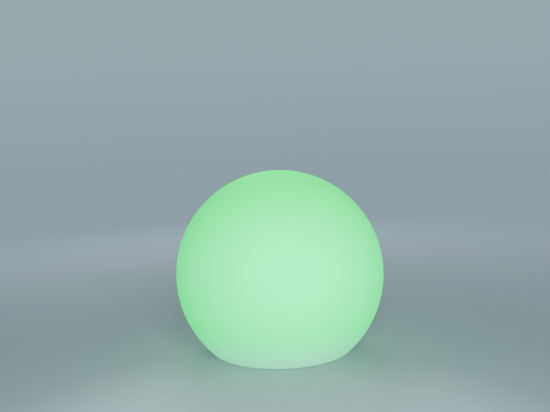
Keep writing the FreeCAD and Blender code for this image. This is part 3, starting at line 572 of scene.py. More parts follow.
def ballOutline():
    # one closed section of the wall: outside, edge, flat, pocket, land, and back up the inside
    radius, centreZ, flatZ, wall = ball["radius"], ball["centreZ"], ball["flatZ"], ball["wall"]
    edge = ball["edgeRadius"]
    edgeZ = flatZ + edge
    edgeR = math.sqrt((radius - edge) ** 2 - (edgeZ - centreZ) ** 2)
    edgeAngle = math.degrees(math.atan2(edgeZ - centreZ, edgeR))
    outside = arcPoints(0, centreZ, radius, 90, edgeAngle, ball["rings"])
    corner = arcPoints(edgeR, edgeZ, edge, edgeAngle, -90, 10)
    landTop = ball["landZ"] + wall
    under = [
        (ball["pocketMouth"], flatZ),
        (ball["pocketLand"], ball["landZ"]),
        (ball["openingRadius"], ball["landZ"]),
        (ball["openingRadius"], landTop),
        (ball["pocketLand"] + wall, landTop),
        (ball["pocketMouth"] + wall, flatZ + wall),
    ]
    inner = radius - wall
    floorAngle = math.degrees(math.asin((flatZ + wall - centreZ) / inner))
    inside = arcPoints(0, centreZ, inner, floorAngle, 90, ball["rings"] // 2)
    return outside + corner[1:] + under + inside


glow = {
    "baseColour": (0.235, 0.195, 0.255),
    "crown": (0.104, 0.580, 0.136),
    "belly": (0.146, 0.600, 0.207),
    # foot: a dimmer glow behind the lamp unit, whitened by painted reflection of the floor
    "foot": (0.238, 0.530, 0.328),
    "footEnds": 0.22,          # shares of the ball's height
    "crownBegins": 0.5,
    "roughness": 0.68,
    "specular": 0.06,
    "mottle": 0.03,
    "mottleScale": 9.0,
}


def milkyMaterial():
    # white polythene lit from inside: an even green glow, paler low down, over a satin skin; the whiter foot
    # tone is partly a dimmer glow behind the lamp unit and partly painted reflection of the floor
    material, tree, shader = newMaterial("milkyPolythene")
    height = addNode(tree, "SeparateXYZ", {0: objectPlace(tree)}).outputs["Z"]
    top = ball["centreZ"] + ball["radius"]
    lit = colourRamp(tree, ranged(tree, height, ball["flatZ"], top), [
        (0.0, glow["foot"]),
        (glow["footEnds"], glow["belly"]),
        (glow["crownBegins"], glow["belly"]),
        (1.0, glow["crown"]),
    ])
    skin = placed(tree, fineGrain, Scale=1400.0, Drift=0.06, Roughness=glow["roughness"])
    given(tree, shader, {
        "Base Color": glow["baseColour"],
        "Emission Color": toned(tree, lit, glow["mottleScale"], 1 - glow["mottle"], 1 + glow["mottle"]),
        "Emission Strength": 1.0,
        "Specular IOR Level": glow["specular"],
        "Roughness": skin["Roughness"],
        "Normal": bumped(tree, skin["Height"], 0.05, 0.0003),
    })
    return material


def globeShell():
    # the spun wall, with six bosses on its land, the sockets of the inserts and the seats of the feet
    shell = meshObject("globeShell", spunMesh(ballOutline(), ball["steps"]), 30)
    landTop = ball["landZ"] + ball["wall"]
    low, top = landTop - ball["wall"] / 2, landTop + ball["bossHeight"]
    radius, edge = ball["bossRadius"], ball["bossEdge"]
    bosses = newBmesh()
    cuts = newBmesh()
    for insert in solidBoxes("neck_inserts"):
        outline = [(0, low), (radius, low)] + arcPoints(radius - edge, top - edge, edge, 0, 90, 5) + [(0, top)]
        addSpun(bosses, outline, ball["bossSteps"], middle(insert))
        corner, end = halfWidth(insert), insert[1].z
        below = ball["landZ"] - ball["wall"]
        addSpun(cuts, disc(corner, below, end), ball["insertSides"], middle(insert))
    for number in range(1, 5):
        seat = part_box("foot_pad_" + str(number))
        hole = disc(halfWidth(seat), 0, seat[1].z)
        addSpun(cuts, hole, ball["seatSteps"], middle(seat))
    carved(shell, bosses, "UNION", 30)
    carved(shell, cuts, "DIFFERENCE", 30)
    return stand(shell, "globe_shell", milkyMaterial())


shellPiece = globeShell()
print("globe shell made:", len(shellPiece.data.polygons), "faces")


# finishes of the inner pieces, by the material slots of the record

def clearMaterial(name, colour, roughness):
    material, tree, shader = newMaterial(name)
    skin = placed(tree, fineGrain, Scale=400.0, Drift=0.08, Roughness=roughness)
    given(tree, shader, {
        "Base Color": dusted(tree, colour, 0.15),
        "Transmission Weight": 0.9,
        "IOR": 1.49,
        "Roughness": skin["Roughness"],
    })
    return material


tinned = (0.62, 0.60, 0.55)
finish = {
    "white_moulding": mouldedPlastic("whiteMoulding", (0.66, 0.67, 0.655), 0.48, 1100.0, 0.18, 0.10),
    "button_moulding": mouldedPlastic("greyMoulding", (0.20, 0.225, 0.24), 0.42, 1300.0, 0.15, 0.10),
    "cover_moulding": mouldedPlastic("coverMoulding", (0.17, 0.19, 0.205), 0.62, 1500.0, 0.25, 0.12),
    "cradle_black": mouldedPlastic("cradleMoulding", (0.018, 0.018, 0.020), 0.50, 1200.0, 0.20, 0.06),
    "grey_silicone": softRubber("greySilicone", (0.145, 0.155, 0.16), 0.62, 0.05),
    "foot_rubber": softRubber("footRubber", (0.030, 0.033, 0.036), 0.70, 0.10),
    "wire_red": softRubber("redWire", (0.42, 0.012, 0.010), 0.45, 0.05),
    "wire_black": softRubber("blackWire", (0.012, 0.012, 0.013), 0.45, 0.08),
    "stainless": bareMetal("stainlessSteel", (0.56, 0.55, 0.53), 0.30, 700.0, 0.18),
    "brass_insert": bareMetal("brass", (0.66, 0.42, 0.14), 0.30, 900.0, 0.20),
    "nickel": bareMetal("nickelStrip", (0.60, 0.57, 0.51), 0.34, 600.0, 0.22),
    "plate_aluminium": bareMetal("millAluminium", (0.71, 0.72, 0.73), 0.42, 420.0, 0.28),
    "board_green": circuitBoard("greenBoard", (0.012, 0.085, 0.035), (0.020, 0.150, 0.060), tinned, 110.0),
    "board_white": circuitBoard("whiteBoard", (0.70, 0.71, 0.69), (0.58, 0.60, 0.58), tinned, 60.0),
    "clear_pipe": clearMaterial("clearAcrylic", (0.86, 0.95, 0.90), 0.12),
}
print("finishes made:", len(finish))


# neck ring, its gasket, inserts and screws, and the four feet

turnJoint = next(joint for joint in frame["joints"] if joint["name"] == "unit_turn")
marks = {
    "angle": 120.0,        # where the lock marks of the ring and the lamp unit meet
    "unlockAngle": -turnJoint["range_deg"][0],
    "size": 0.0021,
    "hole": 0.55,          # of the size, in the dot
    "proud": 0.0003,
    "unitRadius": 0.0562,
    "ringRadius": 0.0645,
}


def addMark(bm, radius, angle, face, corners, turn=0, hole=0.0):
    # a small mark on a circle about Z, half sunk into a face: a triangle, or a dot with a hole
    size, low, high = marks["size"], face - marks["proud"], face + marks["proud"]
    if hole:
        outline = [(size, low), (size, high), (hole, high), (hole, low)]
        addSpun(bm, outline, corners, onCircle(radius, angle), closed=True)
        return
    before = set(bm.verts)
    addSpun(bm, disc(size, low, high), corners)
    place = Matrix.Translation(onCircle(radius, angle)) @ turnZ(angle + turn)
    bmesh.ops.transform(bm, matrix=place, verts=[vert for vert in bm.verts if vert not in before])


def neckRing():
    ring = softened("neckRing", "neck_ring", 0.0004)
    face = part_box("neck_ring")[0].z
    unlocked = marks["angle"] - marks["unlockAngle"]
    bm = newBmesh()
    addMark(bm, marks["ringRadius"], marks["angle"], face, 3, 180)
    addMark(bm, marks["ringRadius"], unlocked, face, 32, hole=marks["size"] * marks["hole"])
    return stand(carved(ring, bm, "UNION", 40), "neck_ring")


feet = {
    "edge": 0.0006,
    "hollow": 0.0008,                 # radius of the small hollow in the centre
    "grooves": (0.0030, 0.0052),      # middle of each tread groove, from the centre
    "grooveWidth": 0.0009,
    "grooveDepth": 0.0004,
    "steps": 64,
}


def footPad(number):
    node = "foot_pad_" + str(number)
    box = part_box(node)
    radius, edge, depth, top = halfWidth(box), feet["edge"], feet["grooveDepth"], box[1].z
    outline = [(0, depth), (feet["hollow"], depth), (feet["hollow"] + depth / 2, 0)]
    for groove in feet["grooves"]:
        inner, outer = groove - feet["grooveWidth"] / 2, groove + feet["grooveWidth"] / 2
        outline += [(inner - depth / 2, 0), (inner, depth), (outer, depth), (outer + depth / 2, 0)]
    outline += arcPoints(radius - edge, edge, edge, -90, 0, 6) + [(radius, top), (0, top)]
    return spunPiece("footPad" + str(number), node, outline, feet["steps"])


screws = {
    "sides": 28,
    "roundShare": 0.45,        # of the head's height that its edge rounds over
    "underEdge": 0.1,          # of the head's height that is bevelled below
    "crossLength": 1.15,       # of the head's radius
    "crossWidth": 0.30,
    "crossDepth": 0.55,        # of the head's height
    "clear": 1.3,              # how far the cutter of the cross reaches, in heads
    "threadPitch": 0.32,       # of the shank's radius
    "threadDepth": 0.16,
    "tipLength": 0.6,          # of the pitch
    "tipRadius": 0.7,          # of the thread's inner radius
    "turn": 0.9,               # radians from one cross to the next
}


def screwMesh(headRadius, headHeight, shankRadius, length):
    # a pan head with a cross recess, its seat at z 0, over a threaded shank that points down
    bend, under = headHeight * screws["roundShare"], headHeight * screws["underEdge"]
    outline = [(0, headHeight)] + arcPoints(headRadius - bend, headHeight - bend, bend, 90, 0, 6)
    outline += [(headRadius, under), (headRadius - under, 0), (shankRadius, 0)]
    pitch, minor = shankRadius * screws["threadPitch"], shankRadius * (1 - screws["threadDepth"])
    for ridge in range(1, int((length - pitch) / pitch)):
        outline += [(shankRadius, -ridge * pitch), (minor, -(ridge + 0.5) * pitch)]
    outline.append((minor, pitch * screws["tipLength"] - length))
    outline += [(minor * screws["tipRadius"], -length), (0, -length)]
    screw = meshObject("screw", spunMesh(outline, screws["sides"]), 40)
    reach, width = headRadius * screws["crossLength"] / 2, headRadius * screws["crossWidth"] / 2
    floor = headHeight * (1 - screws["crossDepth"])
    for x, y in ((reach, width), (width, reach)):
        cross = newBmesh()
        addBlock(cross, (-x, -y, floor), (x, y, headHeight * screws["clear"]))
        carved(screw, cross, "DIFFERENCE", 40)
    return taken(screw)


def screwSet(name, node, headHeight, shankRadius, headDown=False):
    # one screw mesh, copied to the place of each screw of a node; the widths and lengths are the node's
    boxes = solidBoxes(node)
    low, high = boxes[0]
    master = screwMesh(halfWidth(boxes[0]), headHeight, shankRadius, high.z - low.z - headHeight)
    bm = newBmesh()
    for number, (low, high) in enumerate(boxes):
        centre = middle((low, high))
        seat = low.z + headHeight if headDown else high.z - headHeight
        turn = Matrix.Rotation(number * screws["turn"], 4, "Z")
        place = Matrix.Translation((centre.x, centre.y, seat)) @ turn
        addCopy(bm, master, place @ upsideDown if headDown else place)
    return stand(meshObject(name, bm, 40), node)


plainPiece("neckInserts", "neck_inserts", 0.0002)
plainPiece("neckGasket", "neck_gasket", 0.0003)
neckRing()
screwSet("neckRingScrews", "neck_ring_screws", 0.0022, 0.002, headDown=True)
for number in range(1, 5):
    footPad(number)
print("neck ring, screws and feet made")


# lamp unit: housing, seal, charging socket, its cover, status light

def baseHousing():
    housing = softened("baseHousing", "base_housing", 0.0004)
    mark = newBmesh()
    addMark(mark, marks["unitRadius"], marks["angle"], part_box("base_housing")[0].z, 3)
    return stand(carved(housing, mark, "UNION", 40), "base_housing")


ringSides = 18             # of the round section of a seal


def roundRing(name, node, steps):
    # a seal of round section that fills the height of its node
    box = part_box(node)
    section = (box[1].z - box[0].z) / 2
    outline = arcPoints(halfWidth(box) - section, middle(box).z, section, 0, 360, ringSides)[:-1]
    return spunPiece(name, node, outline, steps, 80, closed=True)


socket = {
    "edge": 0.00008,
    "contacts": 12,
    "pitch": 0.0005,
    "contactWidth": 0.00026,
    "contactLength": 0.0024,
    "contactInset": 0.0003,    # from the tongue's end
    "contactDepth": 0.3,       # of the tongue's half thickness
    "tongueHalf": 0.00035,
    "tongueMargin": 0.000035,
    "tongueReach": 7,          # pitches to each side that belong to the tongue
    "tongueLow": 0.0073,
    "proud": 0.00003,
}


def chargeSocket():
    centre = middle(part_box("charge_socket"))
    half, pitch, wide = socket["tongueHalf"], socket["pitch"], socket["contactWidth"] / 2
    low = socket["tongueLow"] + socket["contactInset"]
    top = low + socket["contactLength"]
    reach, sunk = socket["tongueReach"] * pitch, half * (1 - socket["contactDepth"])
    limit = half + socket["tongueMargin"]

    def contacts(bm):
        repainted(bm, 2, lambda place: abs(place.x - centre.x) <= limit and abs(place.y) < reach)
        for side in (-1, 1):
            x = sorted((centre.x + side * sunk, centre.x + side * (half + socket["proud"])))
            for y in evenly(socket["contacts"], pitch):
                addBlock(bm, (x[0], y - wide, low), (x[1], y + wide, top), finish=1)

    shell = detailed(softened("chargeSocket", "charge_socket", socket["edge"]), contacts)
    return stand(shell, "charge_socket", socketMaterial)


cover = {
    "edge": 0.0003,
    "bolt": [(0.35, 1.2), (-0.65, -0.15), (-0.05, -0.15), (-0.35, -1.2), (0.65, 0.2), (0.05, 0.2)],
    "boltDepth": 0.0002,
    "boltSize": 0.0018,
    "boltX": -0.0262,
    "clear": 0.001,            # how far the cutter of the mark stands out
    "pinEdge": 0.0002,
    "pinSteps": 32,
}


def portCover():
    # the softened door with a shallow lightning mark in its face
    door = softened("portCover", "port_cover", cover["edge"])
    size, start = cover["boltSize"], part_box("port_cover")[0].z - cover["clear"]
    bm = newBmesh()
    verts = [bm.verts.new((cover["boltX"] + x * size, y * size, start)) for x, y in cover["bolt"]]
    pushed(bm, bm.faces.new(verts), (0, 0, cover["clear"] + cover["boltDepth"]))
    return stand(carved(door, bm, "DIFFERENCE", 40), "port_cover")


def coverPin():
    low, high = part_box("port_cover_pin")
    radius, half, edge = (high.x - low.x) / 2, (high.y - low.y) / 2, cover["pinEdge"]
    outline = [(0, -half)] + arcPoints(radius - edge, -half + edge, edge, -90, 0, 4)
    outline += arcPoints(radius - edge, half - edge, edge, 0, 90, 4) + [(0, half)]
    pin = spunMesh(outline, cover["pinSteps"])
    place = Matrix.Translation(middle((low, high))) @ Matrix.Rotation(math.pi / 2, 4, "X")
    bmesh.ops.transform(pin, matrix=place, verts=pin.verts)
    return stand(meshObject("portCoverPin", pin), "port_cover_pin")


window = {
    "radius": 0.0025,
    "flangeThickness": 0.001,
    "flangeLow": 0.006,
    "dome": 0.0004,
    "edge": 0.0002,
    "steps": 48,
}


def statusWindow():
    # a light pipe: domed at its outer end, flanged where it rests on the floor of the bar
    low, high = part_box("status_window")
    radius, flange, edge = window["radius"], (high.x - low.x) / 2, window["edge"]
    under, top = window["flangeLow"], window["flangeLow"] + window["flangeThickness"]
    bend, spread = domeBend(radius, window["dome"])
    outline = arcPoints(0, low.z + bend, bend, -90, -90 + spread, 6)
    outline += [(radius, under), (flange, under), (flange, top), (radius, top)]
    outline += [(radius, high.z - edge), (radius - edge, high.z), (0, high.z)]
    pipe = meshObject("statusWindow", spunMesh(outline, window["steps"]), 30)
    return stand(pipe, "status_window")


socketMaterial = finishesMaterial("socketShell", [
    ((0.60, 0.60, 0.59), 0.26, 1.0),      # plated shell
    ((0.80, 0.56, 0.20), 0.25, 1.0),      # contacts
    ((0.015, 0.015, 0.016), 0.45, 0.0),   # tongue
])
baseHousing()
roundRing("sealRing", "seal_ring", 128)
chargeSocket()
portCover()
coverPin()
statusWindow()
print("lamp unit's outside made")


# power button, its seal, plunger and switch

button = {
    "dish": 0.0005,
    "edge": 0.0007,
    "sealGap": 0.0001,         # the cap is this much smaller than the outside of its seal
    "grooveGap": 0.00005,      # round the seal in its groove
    "flangeThickness": 0.0012,
    "flangeEdge": 0.0002,
    "stemRadius": 0.0022,
    "stemLength": 0.0005,
    "stemRim": 0.00002,        # a hair lower at its rim, so that a full press just clears the switch
    "symbolRadius": 0.0023,
    "symbolWidth": 0.0005,
    "symbolDepth": 0.00025,
    "symbolSteps": 40,
    "clear": 0.001,            # how far the cutters of the symbol stand out
    "barStart": 0.42,          # of the symbol's radius
    "barReach": 0.0032,
    "gapAngle": 70.0,
    "steps": 72,
    "plungerEdge": 0.0003,
    "plungerSteps": 40,
}


def powerButton():
    # a dished cap with a groove for its seal, a flange that keeps it in, and a stem
    low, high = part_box("power_button")
    centre, flange, cut = middle((low, high)), (high.x - low.x) / 2, button["flangeEdge"]
    sealLow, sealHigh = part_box("button_seal")
    gap, cap = button["grooveGap"], (sealHigh.x - sealLow.x) / 2 - button["sealGap"]
    groove, rim = cap - (sealHigh.z - sealLow.z) + gap, cap - button["edge"]
    stem, stemLow = button["stemRadius"], high.z - button["stemLength"]
    flangeLow = stemLow - button["flangeThickness"]
    bend, spread = domeBend(rim, button["dish"])
    outline = arcPoints(0, low.z + button["dish"] - bend, bend, 90, 90 - spread, 10)
    outline += arcPoints(rim, low.z + button["edge"], button["edge"], -90, 0, 6)[1:]
    outline += [(cap, sealLow.z - gap), (groove, sealLow.z - gap)]
    outline += [(groove, sealHigh.z + gap), (cap, sealHigh.z + gap), (cap, flangeLow)]
    outline += [(flange - cut, flangeLow), (flange, flangeLow + cut), (flange, stemLow - cut)]
    outline += [(flange - cut, stemLow), (stem, stemLow), (stem, high.z - button["stemRim"]), (0, high.z)]
    piece = meshObject("powerButton", spunMesh(outline, button["steps"], centre), 30)

    # the power symbol: an open ring, then a bar through its gap
    floor, below = low.z + button["dish"] + button["symbolDepth"], low.z - button["clear"]
    half = button["symbolWidth"] / 2
    inner, outer = button["symbolRadius"] - half, button["symbolRadius"] + half
    start = Matrix.Translation((centre.x, centre.y, 0)) @ turnZ(90 + button["gapAngle"] / 2)
    corners = [(inner, below), (outer, below), (outer, floor), (inner, floor)]
    ring = newBmesh()
    verts = [ring.verts.new(start @ Vector((radius, 0, height))) for radius, height in corners]
    bmesh.ops.spin(
        ring, geom=[ring.faces.new(verts)], cent=centre, axis=(0, 0, 1),
        angle=math.radians(360 - button["gapAngle"]), steps=button["symbolSteps"],
    )
    bmesh.ops.recalc_face_normals(ring, faces=ring.faces)
    carved(piece, ring, "DIFFERENCE", 30)
    bar = newBmesh()
    barLow = button["symbolRadius"] * button["barStart"]
    addBlock(bar, (centre.x - half, barLow, below), (centre.x + half, button["barReach"], floor))
    carved(piece, bar, "DIFFERENCE", 30)
    detailed(piece, lambda bm: repainted(bm, 1, lambda place: abs(place.z - floor) < 1e-5), 30)
    return stand(piece, "power_button", buttonMaterial)


def switchPlunger():
    low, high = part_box("switch_plunger")
    radius, edge = (high.x - low.x) / 2, button["plungerEdge"]
    outline = [(0, low.z)] + arcPoints(radius - edge, low.z + edge, edge, -90, 0, 5)
    outline += [(radius, high.z), (0, high.z)]
    return spunPiece("switchPlunger", "switch_plunger", outline, button["plungerSteps"], 35)


switch = {
    "edge": 0.00015,
    "plate": 0.0003,
    "rivetInset": 0.0008,
    "rivet": [(0, -0.0002), (0.0003, -0.00015), (0.00042, 0), (0.00042, 0.0002), (0, 0.0002)],
    "rivetSteps": 12,
}


def powerSwitch():
    # a tactile switch: black body, steel plate on its face, four rivets
    low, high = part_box("power_switch")
    inset = switch["rivetInset"]

    def plate(bm):
        repainted(bm, 1, lambda place: place.z < low.z + switch["plate"])
        outline = [(radius, low.z + height) for radius, height in switch["rivet"]]
        for x in (low.x + inset, high.x - inset):
            for y in (low.y + inset, high.y - inset):
                addSpun(bm, outline, switch["rivetSteps"], (x, y))

    body = detailed(softened("powerSwitch", "power_switch", switch["edge"]), plate)
    return stand(body, "power_switch", switchMaterial)


buttonMaterial = finishesMaterial("buttonMoulding", [
    ((0.20, 0.225, 0.24), 0.42, 0.0),
    ((0.70, 0.72, 0.71), 0.50, 0.0),      # the filled power symbol
], 1300.0)
switchMaterial = finishesMaterial("tactileSwitch", [
    ((0.015, 0.015, 0.016), 0.48, 0.0),
    ((0.58, 0.57, 0.55), 0.30, 1.0),
])
powerButton()
roundRing("buttonSeal", "button_seal", 72)
switchPlunger()
powerSwitch()
print("button and switch made")


# lamps: packages with a clear window over the chip

lamps = {
    "windowGlow": (0.05, 0.42, 0.12),
    "windowDepth": 0.0002,
    "windowFloor": 0.9,        # of the window's radius
    "clear": 0.0003,           # how far the cutter of the window stands out
    "steps": 32,
    "statusWindow": 0.001,
    "inset": 0.0001,           # of the body behind the ends of the leads
    "edge": 0.00012,
    "leadLength": 0.0004,
    "leadWidth": 0.0008,
    "leadHeight": 0.0004,
    "leadEdge": 0.00005,
}


def lampMesh(length, width, height, radius, leads):
    # one package, its base at z 0 and its window up
    half, body = length / 2, length / 2 - lamps["inset"]
    floor, top = height - lamps["windowDepth"], height + lamps["clear"]
    block = newBmesh()
    addBlock(block, (-body, -width / 2, 0), (body, width / 2, height), lamps["edge"])
    package = meshObject("package", block, 40)
    well = [(0, floor), (radius * lamps["windowFloor"], floor), (radius, height), (radius, top), (0, top)]
    carved(package, spunMesh(well, lamps["steps"]), "DIFFERENCE", 40)

    def leadsAndWindow(bm):
        repainted(bm, 1, lambda place: abs(place.z - floor) < 1e-6)
        wide, high = lamps["leadWidth"] / 2, lamps["leadHeight"]
        for side in (-1, 1):
            x = sorted((side * (half - lamps["leadLength"]), side * half))
            for y in evenly(leads, width / leads):
                addBlock(bm, (x[0], y - wide, 0), (x[1], y + wide, high), lamps["leadEdge"], 2, 1)

    return taken(detailed(package, leadsAndWindow))


def lampSet(name, node, size, height, windowRadius, leads):
    # one lamp, copied to each place of a node and turned outward, with its leads on two sides
    master = lampMesh(size, size, height, windowRadius, leads)
    bm = newBmesh()
    for box in solidBoxes(node):
        centre = middle(box)
        turn = Matrix.Rotation(math.atan2(centre.y, centre.x), 4, "Z")
        addCopy(bm, master, Matrix.Translation((centre.x, centre.y, box[0].z)) @ turn)
    return stand(meshObject(name, bm, 40), node, lampMaterial)


def statusLed():
    low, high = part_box("status_led")
    size, centre = high - low, middle((low, high))
    bm = newBmesh()
    master = lampMesh(size.x, size.y, size.z, lamps["statusWindow"], 2)
    addCopy(bm, master, Matrix.Translation((centre.x, centre.y, high.z)) @ upsideDown)
    return stand(meshObject("statusLed", bm, 40), "status_led", lampMaterial)


receiver = {
    "eyeHeight": 0.0015,
    "eyeRadius": 0.0024,
    "eyeRoot": 0.0005,         # how deep the eye starts inside the block
    "eyeSteps": 40,
    "edge": 0.0004,
}


def irReceiver():
    # a dark block with a round eye on top
    low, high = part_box("ir_receiver")
    radius, shoulder = receiver["eyeRadius"], high.z - receiver["eyeHeight"]
    root = shoulder - receiver["eyeRoot"]
    bend, spread = domeBend(radius, receiver["eyeHeight"])
    outline = [(0, root), (radius, root)] + arcPoints(0, high.z - bend, bend, 90 - spread, 90, 10)
    block = newBmesh()
    addBlock(block, low, (high.x, high.y, shoulder), receiver["edge"], segments=3)
    piece = meshObject("irReceiver", block, 40)
    carved(piece, spunMesh(outline, receiver["eyeSteps"]), "UNION", 40)
    return stand(piece, "ir_receiver", receiverMaterial)


lampMaterial = finishesMaterial("lampPackage", [
    ((0.74, 0.74, 0.70), 0.35, 0.0),
    ((0.55, 0.62, 0.30), 0.12, 0.0),      # window over the chip
    ((0.62, 0.61, 0.58), 0.28, 1.0),      # leads
], glow=lamps["windowGlow"])
receiverMaterial = mouldedPlastic("darkFilterResin", (0.020, 0.008, 0.012), 0.14, 500.0, 0.03, 0.10)
lampSet("rgbLeds", "rgb_leds", 0.005, 0.0016, 0.0020, 3)
lampSet("whiteLeds", "white_leds", 0.0032, 0.0009, 0.0013, 2)
statusLed()
irReceiver()
print("lamps made")


# cells, cradle, clamp and leads

cell = {
    "capRadius": 0.0045,
    "capHeight": 0.0012,
    "capEdge": 0.0003,
    "groove": 0.0028,          # middle of the crimp, below the shoulder
    "grooveHalf": 0.0010,
    "grooveDepth": 0.0005,
    "shoulder": 0.0006,
    "bottomShare": 0.79,       # of the radius, where the bottom steps in
    "ringShare": 0.61,         # and where the insulating ring ends
    "stepShare": 0.01,
    "stepDepth": 0.0002,
    "bareDepth": 0.0003,       # from the ends, within which the steel is bare
    "steps": 56,
}


def batteryCell(name, node, direction):
    # sleeve, crimp, insulating ring and cap, spun upright, then laid along X
    low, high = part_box(node)
    radius, half = (high.y - low.y) / 2, (high.x - low.x) / 2
    edge, step, sunk = cell["shoulder"], cell["stepShare"], cell["stepDepth"]
    cap, capEdge, bottom, inner = cell["capRadius"], cell["capEdge"], cell["bottomShare"], cell["ringShare"]
    top = half - cell["capHeight"]
    crimp, wide, bare = top - cell["groove"], cell["grooveHalf"], cell["bareDepth"]
    outline = [(0, sunk - half), (radius * (bottom - step), sunk - half), (radius * (bottom + step), -half)]
    outline += arcPoints(radius - edge, -half + edge, edge, -90, 0, 5)
    outline += [(radius, crimp - wide), (radius - cell["grooveDepth"], crimp), (radius, crimp + wide)]
    outline += arcPoints(radius - edge, top - edge, edge, 0, 90, 5)
    outline += [(radius * (inner + step), top), (radius * (inner - step), top - sunk), (cap, top - sunk)]
    outline += [(cap, half - capEdge), (cap - capEdge, half), (0, half)]
    bm = spunMesh(outline, cell["steps"])
    repainted(bm, 2, lambda place: place.z > top - 1e-5 and place.to_2d().length > radius * inner)
    repainted(bm, 1, lambda place: place.z > top - bare and place.to_2d().length < radius * inner)
    repainted(bm, 1, lambda place: place.z < bare - half and place.to_2d().length < radius * bottom)
    place = Matrix.Translation(middle((low, high))) @ Matrix.Rotation(direction * math.pi / 2, 4, "Y")
    bmesh.ops.transform(bm, matrix=place, verts=bm.verts)
    return stand(meshObject(name, bm, 30), node, cellMaterial)


cellMaterial = finishesMaterial("cellSleeve", [
    ((0.012, 0.095, 0.27), 0.30, 0.0),
    ((0.60, 0.60, 0.58), 0.28, 1.0),      # steel cap and bottom
    ((0.72, 0.73, 0.71), 0.55, 0.0),      # insulating ring
], 300.0)
batteryCell("batteryCell1", "battery_cell_1", -1)
batteryCell("batteryCell2", "battery_cell_2", 1)
plainPiece("batteryCradle", "battery_cradle", 0.0003)
plainPiece("batteryClamp", "battery_clamp", 0.0003)
for colour in ("red", "black"):
    node = "battery_lead_" + colour
    lead = meshObject("batteryLead" + colour.capitalize(), mergedCopy(node), 50)
    stand(lead, node)
print("battery made")


# parts of the boards

chip = {
    "pinReach": 0.0011,        # from the body's side to the ends of the pins
    "lift": 0.0001,
    "edge": 0.0001,
    "dotRadius": 0.0005,
    "dotPlace": 0.75,          # of half the body
    "dotDepth": 0.0001,
    "dotProud": 0.00002,
    "dotSteps": 20,
    "pins": 9,
    "pitch": 0.0008,
    "pinHalf": 0.00017,
    "pin": [                   # shoulder, drop and foot: from and to the body's side, low and high
        (-0.0002, 0.0004, 0.0006, 0.0008),
        (0.0003, 0.0005, 0.0001, 0.0008),
        (0.0003, 0.0011, 0.0, 0.0002),
    ],
}


def controlChip():
    # a flat package with gull-wing pins on four sides and a dot at pin one
    low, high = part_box("control_chip")
    centre, body, half = middle((low, high)), (high.x - low.x) / 2 - chip["pinReach"], chip["pinHalf"]
    x, y = centre.x, centre.y
    bm = newBmesh()
    addBlock(bm, (x - body, y - body, low.z + chip["lift"]), (x + body, y + body, high.z), chip["edge"])
    dot = disc(chip["dotRadius"], high.z - chip["dotDepth"], high.z + chip["dotProud"])
    aside = body * chip["dotPlace"]
    addSpun(bm, dot, chip["dotSteps"], (x - aside, y + aside), finish=2)
    pins = newBmesh()
    for place in evenly(chip["pins"], chip["pitch"]):
        for near, far, under, top in chip["pin"]:
            addBlock(pins, (body + near, place - half, under), (body + far, place + half, top), finish=1)
    row = looseMesh(pins)
    for side in range(4):
        addCopy(bm, row, Matrix.Translation((x, y, low.z)) @ turnZ(side * 90))
    return stand(meshObject("controlChip", bm, 40), "control_chip", chipMaterial)


transistor = {
    "leadReach": 0.0009,       # from the ends of the leads to the body
    "tabReach": 0.0008,
    "sideGap": 0.0002,
    "lift": 0.0001,
    "edge": 0.0002,
    "metal": 0.0005,           # thickness of the tab and the leads
    "metalEdge": 0.0001,
    "tabLength": 0.0014,
    "tabGap": 0.0004,
    "leadLength": 0.0012,
    "leadHalf": 0.0004,
    "leadPitch": 0.0044,
}


def driverTransistors():
    # three power packages: body, cooling tab and two leads
    facts = transistor
    gap, half, edge = facts["tabGap"], facts["leadHalf"], facts["metalEdge"]
    bm = newBmesh()
    for low, high in solidBoxes("driver_transistors"):
        top, leadEnd = low.z + facts["metal"], low.x + facts["leadLength"]
        bodyLow = low + Vector((facts["leadReach"], facts["sideGap"], facts["lift"]))
        addBlock(bm, bodyLow, high - Vector((facts["tabReach"], facts["sideGap"], 0)), facts["edge"])
        addBlock(bm, (high.x - facts["tabLength"], low.y + gap, low.z), (high.x, high.y - gap, top), edge, 1)
        for place in evenly(2, facts["leadPitch"]):
            y = middle((low, high)).y + place
            addBlock(bm, (low.x, y - half, low.z), (leadEnd, y + half, top), edge, 1)
    return stand(meshObject("driverTransistors", bm, 40), "driver_transistors", chipMaterial)


capacitor = {
    "edge": 0.0005,
    "bottomShare": 0.9,        # of the radius
    "bottomEdge": 0.0004,
    "crimp": 0.0015,           # its height above the bottom
    "crimpHalf": 0.0005,
    "crimpDepth": 0.0004,
    "topShare": 0.79,          # of the radius that the bare top fills
    "stepShare": 0.01,
    "topDepth": 0.0002,
    "scoreReach": 0.6,         # of the radius
    "scoreHalf": 0.00015,
    "scoreDepth": 0.0004,
    "clear": 0.001,            # how far the cutters of the score stand out
    "stripe": 0.88,            # of the radius, where the stripe begins
    "steps": 48,
}


